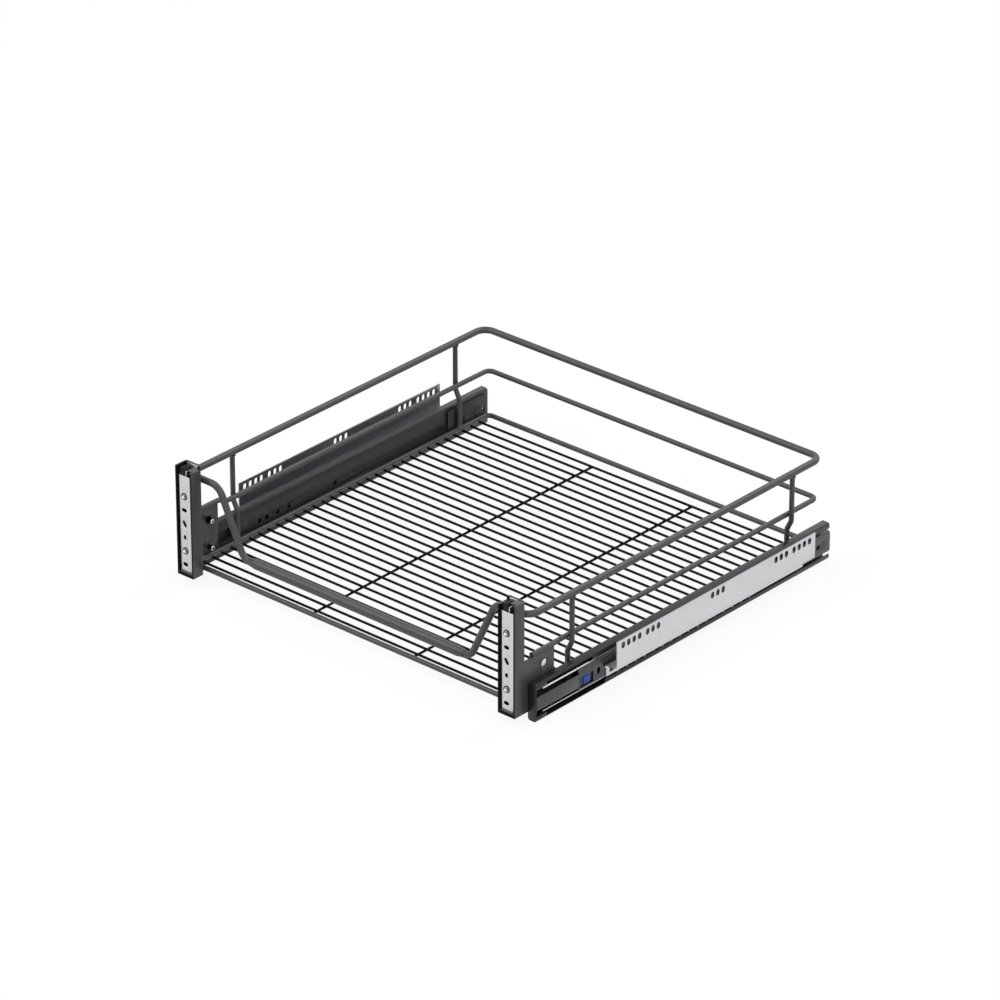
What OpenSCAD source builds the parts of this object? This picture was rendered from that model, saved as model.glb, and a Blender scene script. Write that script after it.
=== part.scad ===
// Wire basket drawer on full-extension ball slides, with front uprights that carry a door front.
// X runs across the cabinet, Y from the front to the back and Z up.
// The origin is at the middle of the drawer's plan, level with its lowest edge.

/* [Cabinet] */
// Clear width between the cabinet's side walls
cabinet_w = 564; // [414:1:864]
// Distance from a side wall to the slide, bridged by the mounting strip
strip_depth = 18.5; // [14:0.5:30]

/* [Basket wires] */
// Diameter of the top rail's wire
rail_d = 8; // [6:0.5:9]
// Diameter of the middle rail's wire
mid_d = 6; // [5:0.5:7]
// Diameter of the four posts
post_d = 6; // [5:0.5:7]
// Diameter of the floor's edge ring
ring_d = 6; // [5:0.5:8]
// Diameter of the floor wires
floor_d = 3; // [2:0.5:4]
// Diameter of the two wires under the floor
support_d = 3; // [2:0.5:5]
// Distance from one floor wire to the next, as near as whole gaps allow
floor_pitch = 15; // [10:0.5:30]
// Distance of each support wire from the middle
support_x = 75; // [40:1:120]
// Height of the top rail's centre
rail_z = 116.5; // [108:0.5:124]
// Height of the middle rail's centre
mid_z = 63.5; // [60:0.5:72]
// Bend radius of the top rail's four corners
rail_bend = 14; // [10:0.5:16]
// Bend radius of the middle rail's and the ring's corners
wire_bend = 8; // [7:0.5:16]
// Free space between the top rail's back and the slides' rear ends
rail_gap = 0.5; // [0:0.5:10]
// Distance from the front posts to the slides' front ends
post_front = 70.5; // [60:0.5:120]
// Distance from the rear posts to the slides' rear ends
post_rear = 55.5; // [30:0.5:120]
// Height where the posts start to bend in to the ring
post_bend_z = 57; // [52:0.5:57]

/* [Front dip] */
// Outer diameter of the thick tube at the bottom of the front dip
tube_d = 12; // [10:0.5:18]
// Length of the straight thick tube
tube_len = 300; // [120:1:330]
// Length of each tapered end of the tube
tube_taper = 10; // [4:0.5:16]
// Height of the dip's bottom run
dip_z = 38; // [30:0.5:60]
// Distance from the side plane to the top corner of the dip
dip_top = 45.5; // [42:0.5:70]
// Distance from the side plane to the bottom corner of the dip
dip_low = 82; // [72:0.5:120]
// Bend radius of the dip's top corners
dip_top_bend = 18; // [10:0.5:20]
// Bend radius of the dip's bottom corners
dip_low_bend = 14; // [10:0.5:20]

/* [Uprights] */
// Height of the uprights
upright_h = 136; // [132:0.5:150]
// Width of the uprights
upright_w = 24; // [22:0.5:28]
// Depth of the uprights
upright_y = 18; // [16:0.5:24]
// Sheet thickness of the uprights, wings and rear brackets
upright_t = 2; // [1.5:0.1:2.5]
// Height of an upright's inner wall
inner_wall_h = 132; // [126:0.5:132]
// Height of the lip at the foot of an upright
foot_lip = 4.5; // [3:0.5:8]
// Height of the wing behind an upright
wing_h = 63.5; // [58:0.5:70]
// Depth of the wing, from the upright's front face
wing_y = 64; // [60:0.5:90]
// Bend radius of the uprights' back folds, at the middle of the sheet
upright_bend = 2.5; // [1.5:0.1:3]
// Diameter of the wing's upper hole
wing_hole_d = 10; // [7:0.5:11]
// Distance from the wing's studs to the upright's front face
wing_hole_y = 48.5; // [44:0.5:54]
// Height of the wing's upper stud
wing_hole_z = 49; // [46:0.5:50]
// Diameter of the wing's studs
stud_d = 5.5; // [4:0.1:6]
// How far the studs stand into the basket
stud_reach = 6.7; // [3:0.1:9]

/* [Front plates] */
// Sheet thickness of the front plate
plate_t = 1.5; // [1:0.1:2]
// Distance of the front plate behind the upright's front edges
plate_recess = 2; // [1:0.5:4]
// Height of the front plate's top edge
plate_top = 125; // [112:0.5:125]
// Depth of the front plate's folded sides
plate_fold = 5; // [3:0.5:6]
// Height of the lower threaded insert
insert_z = 31; // [29:0.5:33]
// Distance between the two threaded inserts
insert_pitch = 68; // [66:0.5:72]
// Bore of the threaded inserts
insert_bore = 5; // [4:0.5:5.5]
// Flange diameter of the threaded inserts
insert_flange = 8.4; // [8:0.1:12]
// Bend radius of the front plate's folds, at the middle of the sheet
plate_bend = 1.6; // [1.2:0.1:2]
// Distance of the plate's inserts and slots from its middle
plate_holes_x = -1.3; // [-1.5:0.1:1.5]
// Height of the lower level slot
slot_low_z = 14; // [12:0.5:16]
// Height of the upper level slot
slot_high_z = 82; // [80:0.5:84]
// Length of the level slots
level_slot_l = 7.5; // [6:0.1:9]
// Width of the level slots
level_slot_w = 4.4; // [3:0.1:5]
// Height of the slanted slot
slant_z = 65; // [62:0.5:68]
// Length of the slanted slot
slant_l = 8.5; // [6:0.1:10]
// Width of the slanted slot
slant_w = 4.2; // [3:0.1:5]
// Turn of the slanted slot from level
slant_lean = -58; // [-80:1:-40]
// Height of the small hole
pilot_z = 48; // [46:0.5:52]
// Length of the small hole, which is taller than wide
pilot_l = 5.5; // [4.5:0.1:7]
// Width of the small hole
pilot_w = 4; // [2.5:0.1:4.4]

/* [Slides] */
// Length of the slides
slide_len = 500; // [450:50:600]
// How far the drawer pulls out
travel = 500; // [350:10:500]
// Height of the basket member of the slide
slide_h = 46; // [45:0.5:50]
// Thickness of the slide, from the basket to its cabinet member's face
slide_w = 13; // [12.8:0.1:14]
// Sheet thickness of the slide members
slide_t = 1.2; // [1:0.1:1.3]
// Height of the slide's centre line
slide_z = 13.75; // [12:0.25:15]
// Distance of the slide's front end behind the uprights' front faces
slide_y = 21.5; // [20:0.5:24]
// Diameter of the outer balls
outer_ball = 4; // [3.6:0.1:4]
// Diameter of the inner balls
inner_ball = 3.2; // [2.8:0.1:3.2]
// Distance from one ball to the next in a row
ball_pitch = 15; // [8:0.5:30]
// Running gap between a ball and its raceway
ball_gap = 0.05; // [0.02:0.01:0.08]
// Distance of the middle member's front end behind the basket member's
middle_setback = 6.5; // [4:0.5:12]
// Distance of the cabinet member's front end behind the basket member's
cabinet_setback = 68.5; // [60:0.5:90]
// Depth of the basket member's channel, over its lips
channel_depth = 12; // [11:0.1:12.2]
// Height of the channel's lips
channel_lip = 6.7; // [4:0.1:8]
// Length of the lips' front stretch, before their gap
lip_front = 17; // [12:0.5:24]
// Distance from the channel's front end to where its upper lip goes on
lip_gap_top = 92; // [60:0.5:110]
// Distance from the channel's front end to where its lower lip goes on
lip_gap_low = 113; // [60:0.5:125]
// Height of the tongue that is folded back from the channel's front face
tongue_h = 16.5; // [10:0.5:20]

/* [Mounting strips] */
// Length of the mounting strips
strip_len = 340; // [330:1:360]
// Distance from the slide's front end to the mounting strip's front end
strip_y = 109.8; // [80:0.1:120]
// Sheet thickness of the mounting strips
strip_t = 1.5; // [1:0.1:2]
// Height of the strip's top edge
strip_top = 51; // [46:0.5:60]
// Height of the strip's fold, at its underside
strip_fold_z = 17; // [15:0.5:20]
// Height of the strip's lower edge
strip_low = 2; // [1:0.5:6]
// Bend radius inside the strip's folds
strip_bend = 3.5; // [2:0.5:4]
// Width of the strip's upright slots
slot_w = 5.6; // [3.5:0.1:6.5]
// Length of the strip's upright slots
slot_l = 8; // [6:0.1:12]
// Distance between neighbouring slots of a group
slot_pitch = 9.1; // [8:0.1:10]
// Height of the slots' centres
strip_slot_z = 44; // [36:0.5:44]

/* [Release levers] */
// Thickness of a release lever
lever_t = 1.6; // [1:0.1:1.8]
// Diameter of a lever's hinge pin
lever_pin_d = 3; // [2:0.1:4]

/* [Hidden] */
$fn = 48;

// Colours of the finishes
ANTHRACITE = "#4a4b4d";
ZINC = "#c9cccf";
NICKEL = "#dfe0e2";
BLACK = "#1b1b1d";
BLUE = "#1f3f8f";

// Cutting tools reach this far past what they cut
past = 1;
// A free fit between sheet parts
free = 0.3;

// Widths, each worked inwards from the side wall
wall_x = cabinet_w / 2;
cabinet_face_x = wall_x - strip_depth;
side_x = cabinet_face_x - slide_w;
ring_x = side_x - upright_t - ring_d / 2;
mid_x = side_x - upright_t - mid_d / 2;
post_x = mid_x + (mid_d + post_d) / 2;
post_low_x = side_x - upright_t - post_d / 2;
rail_x = post_x;
upright_x = side_x - upright_w / 2;

// Heights of the floor's layers, from the support wires up
floor_z = floor_d / 2;
ring_z = floor_d + ring_d / 2;
support_z = -support_d / 2;
lowest_z = slide_z - slide_h / 2;

// Depths, from the uprights' front faces
slide_back = slide_y + slide_len;
rail_front_y = upright_y + rail_d / 2;
ring_front_y = upright_y + ring_d / 2;
rail_back_y = slide_back - rail_gap - rail_d / 2;
mid_back_y = slide_back - rail_gap - mid_d / 2;
ring_back_y = rail_back_y + rail_d / 2 - floor_d / 2 - ring_d / 2;

// The slide's section: s runs outwards from the basket's side plane, t up from its centre line
race_s = slide_w / 2;
outer_race_t = slide_h / 2 - slide_t - ball_gap - outer_ball / 2;
middle_half = outer_race_t - outer_ball / 2 - ball_gap;
inner_race_t = middle_half - slide_t - ball_gap - inner_ball / 2;
cabinet_half = inner_race_t - inner_ball / 2 - ball_gap;
middle_s = 2.5 + slide_t / 2;
cage_t = 0.5;
outer_cage_s = (slide_t + middle_s - slide_t / 2) / 2;
// How far the cages' strips reach past the balls' centres, outwards and back to the web
outer_cage_reach = outer_ball / 2 + 0.5;
inner_cage_reach = inner_ball / 2 + 2.15;
inner_cage_back_reach = inner_ball / 2 + 0.5;

// Places of the slide members at rest
middle_front = slide_y + middle_setback;
middle_back = slide_back - middle_setback;
cabinet_front = slide_y + cabinet_setback;
// A cage rolls over each of its two members by this share of the travel
cage_roll = travel / 4;
// A cage fills what stays covered by both of its members at either end of the travel
cage_spare = 2;
cage_setback = 6;
inner_balls_front = cabinet_front + cage_roll + cage_spare + inner_ball;
inner_cage_front = middle_front + cage_setback;
inner_cage_back = middle_back - cage_roll - cage_spare;
outer_cage_front = middle_front + cage_roll + cage_spare;
outer_cage_back = slide_back - cage_roll - cage_spare;

// Middle of the drawer's depth, which the origin is under
depth_mid = slide_back / 2;

// Places of the fasteners along the slide, as the slide's own holes are spaced
rivet_d = 4;
rivet_head_d = 8;
rivet_head_t = 1.4;
rear_rivet_gaps = [40.5, 22.5];
rear_rivets_y = [for (gap = rear_rivet_gaps) slide_back - gap];
strip_rivet_gap = 24;
strip_rivets_y = [
    slide_y + strip_y + strip_rivet_gap,
    slide_y + strip_y + strip_len / 2,
    slide_y + strip_y + strip_len - strip_rivet_gap
];
strip_rivet_z = (strip_low + strip_fold_z) / 2 - strip_bend / 4;

function unit(v) = v / norm(v);
function reversed(list) = [for (i = [len(list) - 1:-1:0]) list[i]];

// Puts what is drawn from the uprights' front and foot into the part's own frame
module placed() {
    translate([0, -depth_mid, -lowest_z]) children();
}

// Draws the right side's piece on the left
module on_left() {
    mirror([1, 0, 0]) children();
}

// Stands a section drawn in X and Z, extruded by its length, from the depth y_back forwards
module run_from(y_back) {
    translate([0, y_back, 0]) rotate([90, 0, 0]) children();
}

// One straight run of round wire
module wire_run(a, b, d) {
    run = b - a;
    if (norm(run) > 0.001)
        translate(a)
            rotate([0, acos(run.z / norm(run)), atan2(run.y, run.x)])
                cylinder(h = norm(run), d = d);
}

// One bend of round wire at the corner p, from direction u to direction v
module wire_turn(p, u, v, r, d) {
    turn = acos(u * v);
    n = unit(v - (u * v) * u);
    c = p - u * r * tan(turn / 2) + n * r;
    w = cross(-n, u);
    multmatrix([[-n.x, u.x, w.x, c.x], [-n.y, u.y, w.y, c.y], [-n.z, u.z, w.z, c.z], [0, 0, 0, 1]])
        rotate_extrude(angle = turn)
            translate([r, 0]) circle(d = d);
}

// A hair-thin collar where a run of wire meets its bend
module wire_collar(p, dir, d) {
    half = 0.2;
    wire_run(p - dir * half, p + dir * half, d + 0.1);
}

// Round wire along corners, each given as its point and its bend radius
module bent_wire(corners, d, closed = false) {
    n = len(corners);
    pts = [for (corner = corners) corner[0]];
    dirs = [for (i = [0:n - 1]) unit(pts[(i + 1) % n] - pts[i])];
    turns = [for (i = [0:n - 1]) acos(dirs[(i + n - 1) % n] * dirs[i])];
    back = [
        for (i = [0:n - 1])
            !closed && (i == 0 || i == n - 1) ? 0 : corners[i][1] * tan(turns[i] / 2)
    ];
    // Whether a bend, or one beside it, turns by other than a right angle
    slants = [for (i = [0:n - 1]) back[i] > 0 && abs(turns[i] - 90) > 0.01];
    near_slant = [for (i = [0:n - 1]) slants[(i + n - 1) % n] || slants[i] || slants[(i + 1) % n]];
    union() {
        for (i = [0:closed ? n - 1 : n - 2])
            wire_run(pts[i] + dirs[i] * back[i], pts[(i + 1) % n] - dirs[i] * back[(i + 1) % n], d);
        for (i = [0:n - 1])
            if (back[i] > 0) {
                before = dirs[(i + n - 1) % n];
                wire_turn(pts[i], before, dirs[i], corners[i][1], d);
                if (near_slant[i]) {
                    wire_collar(pts[i] - before * back[i], before, d);
                    wire_collar(pts[i] + dirs[i] * back[i], dirs[i], d);
                }
            }
    }
}

// Folded sheet: a path of corners down the middle of the sheet, each a point and its bend radius
module folded_sheet(corners, thick, length) {
    n = len(corners);
    pts = [for (corner = corners) corner[0]];
    dirs = [for (i = [0:n - 2]) unit(pts[i + 1] - pts[i])];
    turns = [for (i = [1:n - 2]) acos(dirs[i - 1] * dirs[i])];
    back = [for (i = [0:n - 1]) i == 0 || i == n - 1 ? 0 : corners[i][1] * tan(turns[i - 1] / 2)];
    union() {
        for (i = [0:n - 2]) {
            a = pts[i] + dirs[i] * back[i];
            b = pts[i + 1] - dirs[i] * back[i + 1];
            if (norm(b - a) > 0.001)
                translate([a.x, a.y, 0])
                    rotate([0, 0, atan2(dirs[i].y, dirs[i].x)])
                        translate([0, -thick / 2, 0]) cube([norm(b - a), thick, length]);
        }
        for (i = [1:n - 2])
            sheet_turn(pts[i], dirs[i - 1], dirs[i], turns[i - 1], corners[i][1], thick, length);
    }
}

// One bend of a folded sheet, drawn from the end that it starts at
module sheet_turn(p, u, v, turn, r, thick, length) {
    n = unit(v - (u * v) * u);
    c = p - u * r * tan(turn / 2) + n * r;
    multmatrix([[-n.x, u.x, 0, c.x], [-n.y, u.y, 0, c.y], [0, 0, 1, 0], [0, 0, 0, 1]])
        rotate_extrude(angle = turn)
            translate([r - thick / 2, 0]) square([thick, length]);
}

// The open end of a curled lip that starts level at s, height t, and turns by some degrees
function lip(s, t, r, turn, way) = [
    [[s + way * r * tan(turn / 2), t], r],
    [[s + way * r * tan(turn / 2) * (1 + cos(turn)),
      t + (way > 0 ? -1 : 1) * r * tan(turn / 2) * sin(turn)], 0]
];

// A slide member's sheet between two depths, from its upper half's corners and their mirror image
module slide_member(half, thick, y_front, y_back, web = true) {
    corners = web ? concat([[[half[0][0].x, 0], 0]], half) : half;
    translate([side_x, 0, slide_z])
        run_from(y_back)
            for (flip = [0, 1])
                mirror([0, flip, 0]) folded_sheet(corners, thick, y_back - y_front);
}

// A hole across a side sheet, at a depth and height
module side_hole(y, z, d, from_x, to_x) {
    translate([from_x - past, y, z])
        rotate([0, 90, 0]) cylinder(h = to_x - from_x + 2 * past, d = d);
}

// An upright slot across a side sheet
module side_slot(y, z, w, l, from_x, to_x) {
    side_hole(y, z + (l - w) / 2, w, from_x, to_x);
    side_hole(y, z - (l - w) / 2, w, from_x, to_x);
    translate([from_x - past, y - w / 2, z - (l - w) / 2])
        cube([to_x - from_x + 2 * past, w, l - w]);
}

// Top rail: one closed loop of wire that dips at the front

dip_top_x = side_x - dip_top;
dip_low_x = side_x - dip_low;

module top_rail() {
    y = rail_front_y;
    right = [
        [[rail_x, rail_back_y, rail_z], rail_bend],
        [[rail_x, y, rail_z], rail_bend],
        [[dip_top_x, y, rail_z], dip_top_bend],
        [[dip_low_x, y, dip_z], dip_low_bend]
    ];
    left = [for (corner = right) [[-corner[0].x, corner[0].y, corner[0].z], corner[1]]];
    color(ANTHRACITE) placed()
        bent_wire(concat(right, reversed(left)), rail_d, closed = true);
}

// Thick tube round the bottom of the dip, with a tapered mouth at each end
tube_gap = 0.05;

module front_tube() {
    bore = rail_d + 2 * tube_gap;
    half = tube_len / 2;
    color(ANTHRACITE) placed()
        translate([0, rail_front_y, dip_z])
            rotate([0, 90, 0])
                difference() {
                    union() {
                        translate([0, 0, -half]) cylinder(h = tube_len, d = tube_d);
                        translate([0, 0, half]) cylinder(h = tube_taper, d1 = tube_d, d2 = rail_d + 1);
                        translate([0, 0, -half - tube_taper])
                            cylinder(h = tube_taper, d1 = rail_d + 1, d2 = tube_d);
                    }
                    translate([0, 0, -half - tube_taper - past])
                        cylinder(h = tube_len + 2 * (tube_taper + past), d = bore);
                }
}

// Middle rail: round the back and sides, then up over the top edges of the wings
mid_front_y = 28;
mid_over_x = side_x - upright_t / 2;
mid_over_z = wing_h + mid_d / 2;
// The step down starts just behind the wing, whose top edge carries the rail
mid_step_front = wing_y + 2;
mid_step_back = mid_step_front + 11;

module mid_rail() {
    step_bend = 6;
    right = [
        [[mid_over_x, mid_front_y, mid_over_z], 0],
        [[mid_over_x, mid_step_front, mid_over_z], step_bend],
        [[mid_x, mid_step_back, mid_z], step_bend],
        [[mid_x, mid_back_y, mid_z], wire_bend]
    ];
    left = [for (corner = right) [[-corner[0].x, corner[0].y, corner[0].z], corner[1]]];
    color(ANTHRACITE) placed() bent_wire(concat(right, reversed(left)), mid_d);
}

// Post: down from the top rail, in to the ring's wire and onto its top
module post(y) {
    post_bend = 8;
    post_in = 12;
    bent_wire([
        [[post_x, y, rail_z - rail_d / 2], 0],
        [[post_x, y, post_bend_z], post_bend],
        [[post_low_x, y, post_bend_z - post_in], post_bend],
        [[post_low_x, y, ring_z + ring_d / 2], 0]
    ], post_d);
}

module post_front_right() {
    color(ANTHRACITE) placed() post(slide_y + post_front);
}

module post_front_left() {
    color(ANTHRACITE) placed() on_left() post(slide_y + post_front);
}

module post_rear_right() {
    color(ANTHRACITE) placed() post(slide_back - post_rear);
}

module post_rear_left() {
    color(ANTHRACITE) placed() on_left() post(slide_back - post_rear);
}

// Floor: an edge ring, wires across under it and two wires along under those
module floor_ring() {
    corners = [
        [[ring_x, ring_back_y, ring_z], wire_bend],
        [[ring_x, ring_front_y, ring_z], wire_bend],
        [[-ring_x, ring_front_y, ring_z], wire_bend],
        [[-ring_x, ring_back_y, ring_z], wire_bend]
    ];
    color(ANTHRACITE) placed() bent_wire(corners, ring_d, closed = true);
}

floor_gaps = round((ring_back_y - ring_front_y) / floor_pitch);
floor_step = (ring_back_y - ring_front_y) / floor_gaps;

module floor_wires() {
    color(ANTHRACITE) placed()
        for (i = [1:floor_gaps - 1])
            wire_run(
                [-ring_x, ring_front_y + i * floor_step, floor_z],
                [ring_x, ring_front_y + i * floor_step, floor_z],
                floor_d
            );
}

module support_wire(x) {
    wire_run(
        [x, ring_front_y + floor_step - floor_d, support_z],
        [x, ring_back_y - floor_step + floor_d, support_z],
        support_d
    );
}

module support_wire_left() {
    color(ANTHRACITE) placed() support_wire(-support_x);
}

module support_wire_right() {
    color(ANTHRACITE) placed() support_wire(support_x);
}

// Upright: a channel open to the front and top, whose outer wall runs back as a wing
stud_low_z = slide_z + 1.25;
upright_wall = upright_t / 2;

module upright() {
    inner_x = side_x - upright_w;
    difference() {
        union() {
            folded_sheet([
                [[inner_x + upright_wall, 0], 0],
                [[inner_x + upright_wall, upright_y - upright_wall], upright_bend],
                [[side_x - upright_wall, upright_y - upright_wall], upright_bend],
                [[side_x - upright_wall, 0], 0]
            ], upright_t, upright_h);
            translate([inner_x, 0, 0]) cube([upright_w, upright_y - upright_bend, upright_t]);
            translate([inner_x, 0, 0]) cube([upright_w, upright_t, foot_lip]);
            translate([side_x - upright_t, 0, 0]) cube([upright_t, wing_y, wing_h]);
        }
        translate([inner_x - past, -past, inner_wall_h])
            cube([upright_t + past, upright_y - upright_bend - upright_wall + past, upright_h]);
        side_hole(wing_hole_y, wing_hole_z, wing_hole_d, side_x - upright_t, side_x);
        side_hole(wing_hole_y, stud_low_z, stud_d, side_x - upright_t, side_x);
    }
}

// A leaf folded in from the top of the upright's right-hand wall, beside the adjuster's flange.
// It ends where the wall's back fold begins.
leaf_front = 4;
leaf_back = upright_y - upright_bend - upright_wall;
leaf_reach = 9.5;

module upright_leaf(wall_x, top_z) {
    translate([wall_x - leaf_reach, leaf_front, top_z - upright_t])
        cube([leaf_reach, leaf_back - leaf_front, upright_t]);
}

module upright_right() {
    color(ANTHRACITE) placed() {
        upright();
        upright_leaf(side_x, upright_h);
    }
}

module upright_left() {
    color(ANTHRACITE) placed() {
        on_left() upright();
        upright_leaf(upright_w - side_x, inner_wall_h);
    }
}

// Studs: the upper one has a flat head in the wing's hole, and the lower one holds the slide
stud_head_t = 0.8;

module wing_studs() {
    inner_face = side_x - upright_t;
    translate([inner_face - stud_reach, wing_hole_y, wing_hole_z])
        rotate([0, 90, 0]) cylinder(h = stud_reach + stud_head_t, d = stud_d);
    translate([inner_face, wing_hole_y, wing_hole_z])
        rotate([0, 90, 0]) cylinder(h = stud_head_t, d = wing_hole_d);
    translate([inner_face - stud_reach, wing_hole_y, stud_low_z])
        rotate([0, 90, 0]) cylinder(h = stud_reach + upright_t + slide_t, d = stud_d);
}

module wing_studs_right() {
    color(NICKEL) placed() wing_studs();
}

module wing_studs_left() {
    color(NICKEL) placed() on_left() wing_studs();
}

// Front plate: a shallow zinc channel with two threaded inserts and adjusting slots
plate_w = upright_w - 2 * upright_t - 2 * free;
insert_ledge = 1.4;
insert_body = insert_flange - insert_ledge;

// A slot through the front plate, long across by default
module plate_slot(z, length, width, lean = 0) {
    translate([plate_holes_x, plate_recess + plate_t + past, z])
        rotate([90, 0, 0])
            rotate([0, 0, lean])
                union() {
                    for (end = [-1, 1])
                        translate([end * (length - width) / 2, 0, 0])
                            cylinder(h = plate_t + 2 * past, d = width);
                    translate([-(length - width) / 2, -width / 2, 0])
                        cube([length - width, width, plate_t + 2 * past]);
                }
}

module front_plate(x) {
    half = (plate_w - plate_t) / 2;
    front_y = plate_recess + plate_t / 2;
    back_y = plate_recess + plate_t + plate_fold;
    translate([x, 0, 0])
        difference() {
            translate([0, 0, foot_lip])
                folded_sheet([
                    [[half, back_y], 0],
                    [[half, front_y], plate_bend],
                    [[-half, front_y], plate_bend],
                    [[-half, back_y], 0]
                ], plate_t, plate_top - foot_lip);
            for (z = [insert_z, insert_z + insert_pitch])
                translate([plate_holes_x, plate_recess + plate_t + past, z])
                    rotate([90, 0, 0]) cylinder(h = plate_t + 2 * past, d = insert_body);
            for (z = [slot_low_z, slot_high_z])
                plate_slot(z, level_slot_l, level_slot_w);
            plate_slot(slant_z, slant_l, slant_w, lean = slant_lean);
            plate_slot(pilot_z, pilot_l, pilot_w, lean = 90);
        }
}

module front_plate_left() {
    color(ZINC) placed() front_plate(-upright_x);
}

module front_plate_right() {
    color(ZINC) placed() front_plate(upright_x);
}

// Threaded inserts: a thin flange in front of the plate and a barrel through it
insert_flange_t = 0.6;
insert_barrel = 5.5;
insert_fit = 0.1;

module front_inserts(x) {
    for (z = [insert_z, insert_z + insert_pitch])
        translate([x + plate_holes_x, plate_recess, z])
            rotate([-90, 0, 0])
                difference() {
                    union() {
                        translate([0, 0, -insert_flange_t]) cylinder(h = insert_flange_t, d = insert_flange);
                        cylinder(h = insert_barrel, d = insert_body - insert_fit);
                    }
                    translate([0, 0, -insert_flange_t - past])
                        cylinder(h = insert_barrel + insert_flange_t + 2 * past, d = insert_bore);
                }
}

module front_inserts_left() {
    color(NICKEL) placed() front_inserts(-upright_x);
}

module front_inserts_right() {
    color(NICKEL) placed() front_inserts(upright_x);
}

// Adjuster: a zinc bracket against the upright's back wall and a black block beside its flange
block_w = 10.8;
adjuster_t = 1.2;
adjuster_front_y = plate_recess + plate_t + plate_fold + 2 * free;
adjuster_low_z = insert_z + insert_pitch + insert_flange;
// Above the plate, the adjuster comes forward to here and stands up by this much
adjuster_head_y = plate_recess + 1;
block_over = 9;
bracket_over = 6;

module adjuster_bracket(x) {
    low_x = x - plate_w / 2;
    back_y = upright_y - upright_t;
    // The back leaf keeps out of the round of the upright's folds
    inset = upright_bend - upright_t / 2;
    translate([low_x + inset, back_y - adjuster_t, adjuster_low_z])
        cube([plate_w - 2 * inset, adjuster_t, plate_top + bracket_over - adjuster_low_z]);
    translate([low_x + block_w, adjuster_head_y, plate_top + free])
        cube([adjuster_t, back_y - adjuster_head_y, bracket_over - free]);
    translate([low_x + block_w, adjuster_front_y, adjuster_low_z])
        cube([adjuster_t, back_y - adjuster_front_y, plate_top + bracket_over - adjuster_low_z]);
}

module adjuster_bracket_left() {
    color(ZINC) placed() adjuster_bracket(-upright_x);
}

module adjuster_bracket_right() {
    color(ZINC) placed() adjuster_bracket(upright_x);
}

module adjuster_block(x) {
    low_x = x - plate_w / 2;
    back_y = upright_y - upright_t - adjuster_t;
    // The head's outer top corner is cut in two steps, and its top falls a little to the other side
    round_r = 4;
    top_fall = 1;
    head_foot = 2;
    top_z = plate_top + block_over;
    // The head shows above the plate, and the shank runs down behind it
    translate([low_x, adjuster_front_y, adjuster_low_z])
        cube([block_w, back_y - adjuster_front_y, plate_top - adjuster_low_z]);
    translate([low_x, back_y, 0])
        rotate([90, 0, 0])
            linear_extrude(back_y - adjuster_head_y)
                polygon([
                    [0, plate_top + free],
                    [block_w, plate_top + free],
                    [block_w, plate_top + head_foot],
                    [block_w - round_r / 2, top_z - round_r / 2],
                    [block_w - round_r, top_z],
                    [0, top_z - top_fall]
                ]);
    translate([low_x, adjuster_front_y, plate_top - past])
        cube([block_w, back_y - adjuster_front_y, past + free]);
}

module adjuster_block_left() {
    color(BLACK) placed() adjuster_block(-upright_x);
}

module adjuster_block_right() {
    color(BLACK) placed() adjuster_block(upright_x);
}

// Rear bracket: a plate that joins the ring to the rear end of the slide
rear_bracket_front = 71.5;
rear_bracket_back = 5.5;
rear_bracket_low = -4;
rear_bracket_top = 32;
rear_hole_gap = 10;
rear_hole_d = 4.5;

module rear_bracket() {
    y = slide_back - rear_bracket_front;
    depth = rear_bracket_front - rear_bracket_back;
    difference() {
        translate([side_x - upright_t, y, rear_bracket_low])
            cube([upright_t, depth, rear_bracket_top - rear_bracket_low]);
        for (rivet_y = rear_rivets_y)
            side_hole(rivet_y, slide_z, rivet_d, side_x - upright_t, side_x);
        side_hole(slide_back - rear_hole_gap, slide_z, rear_hole_d, side_x - upright_t, side_x);
    }
}

module rear_bracket_right() {
    color(ANTHRACITE) placed() rear_bracket();
}

module rear_bracket_left() {
    color(ANTHRACITE) placed() on_left() rear_bracket();
}

// Basket member of the slide: a channel with lips, closed at the front by a bent face
channel_bend = outer_ball / 2 + ball_gap + slide_t / 2;
channel_half = [
    [[slide_t / 2, (slide_h - slide_t) / 2], channel_bend],
    [[channel_depth - slide_t / 2, (slide_h - slide_t) / 2], channel_bend],
    [[channel_depth - slide_t / 2, slide_h / 2 - channel_lip], 0]
];
// Places of the holes and the window in the channel's web, from its front end
channel_holes_y = [112.1, 123.5, 141.8, 160, 236.8, 444.5, 490];
channel_hole_d = 6;
window_front = 40.5;
window_back = 76.5;
window_half = 11;
// The lips' gap leaves the channel's flange and this much of its bend
lip_root = 2.5;
// The tongue ends this far ahead of the cabinet member, in line with it
tongue_gap = 0.5;

module slide_channel() {
    difference() {
        union() {
            slide_member(channel_half, slide_t, slide_y, slide_back);
            channel_face();
            translate([side_x + slide_w - slide_t, slide_y, slide_z - tongue_h / 2])
                cube([slide_t, cabinet_setback - tongue_gap, tongue_h]);
        }
        lip_gap(lip_gap_top, 0);
        lip_gap(lip_gap_low, 1);
        side_hole(wing_hole_y, stud_low_z, stud_d, side_x, side_x + slide_t);
        for (y = rear_rivets_y)
            side_hole(y, slide_z, rivet_d, side_x, side_x + slide_t);
        for (gap = channel_holes_y)
            side_hole(slide_y + gap, slide_z, channel_hole_d, side_x, side_x + slide_t);
        translate([side_x - past, slide_y + window_front, slide_z - window_half])
            cube([slide_t + 2 * past, window_back - window_front, 2 * window_half]);
    }
}

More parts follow.
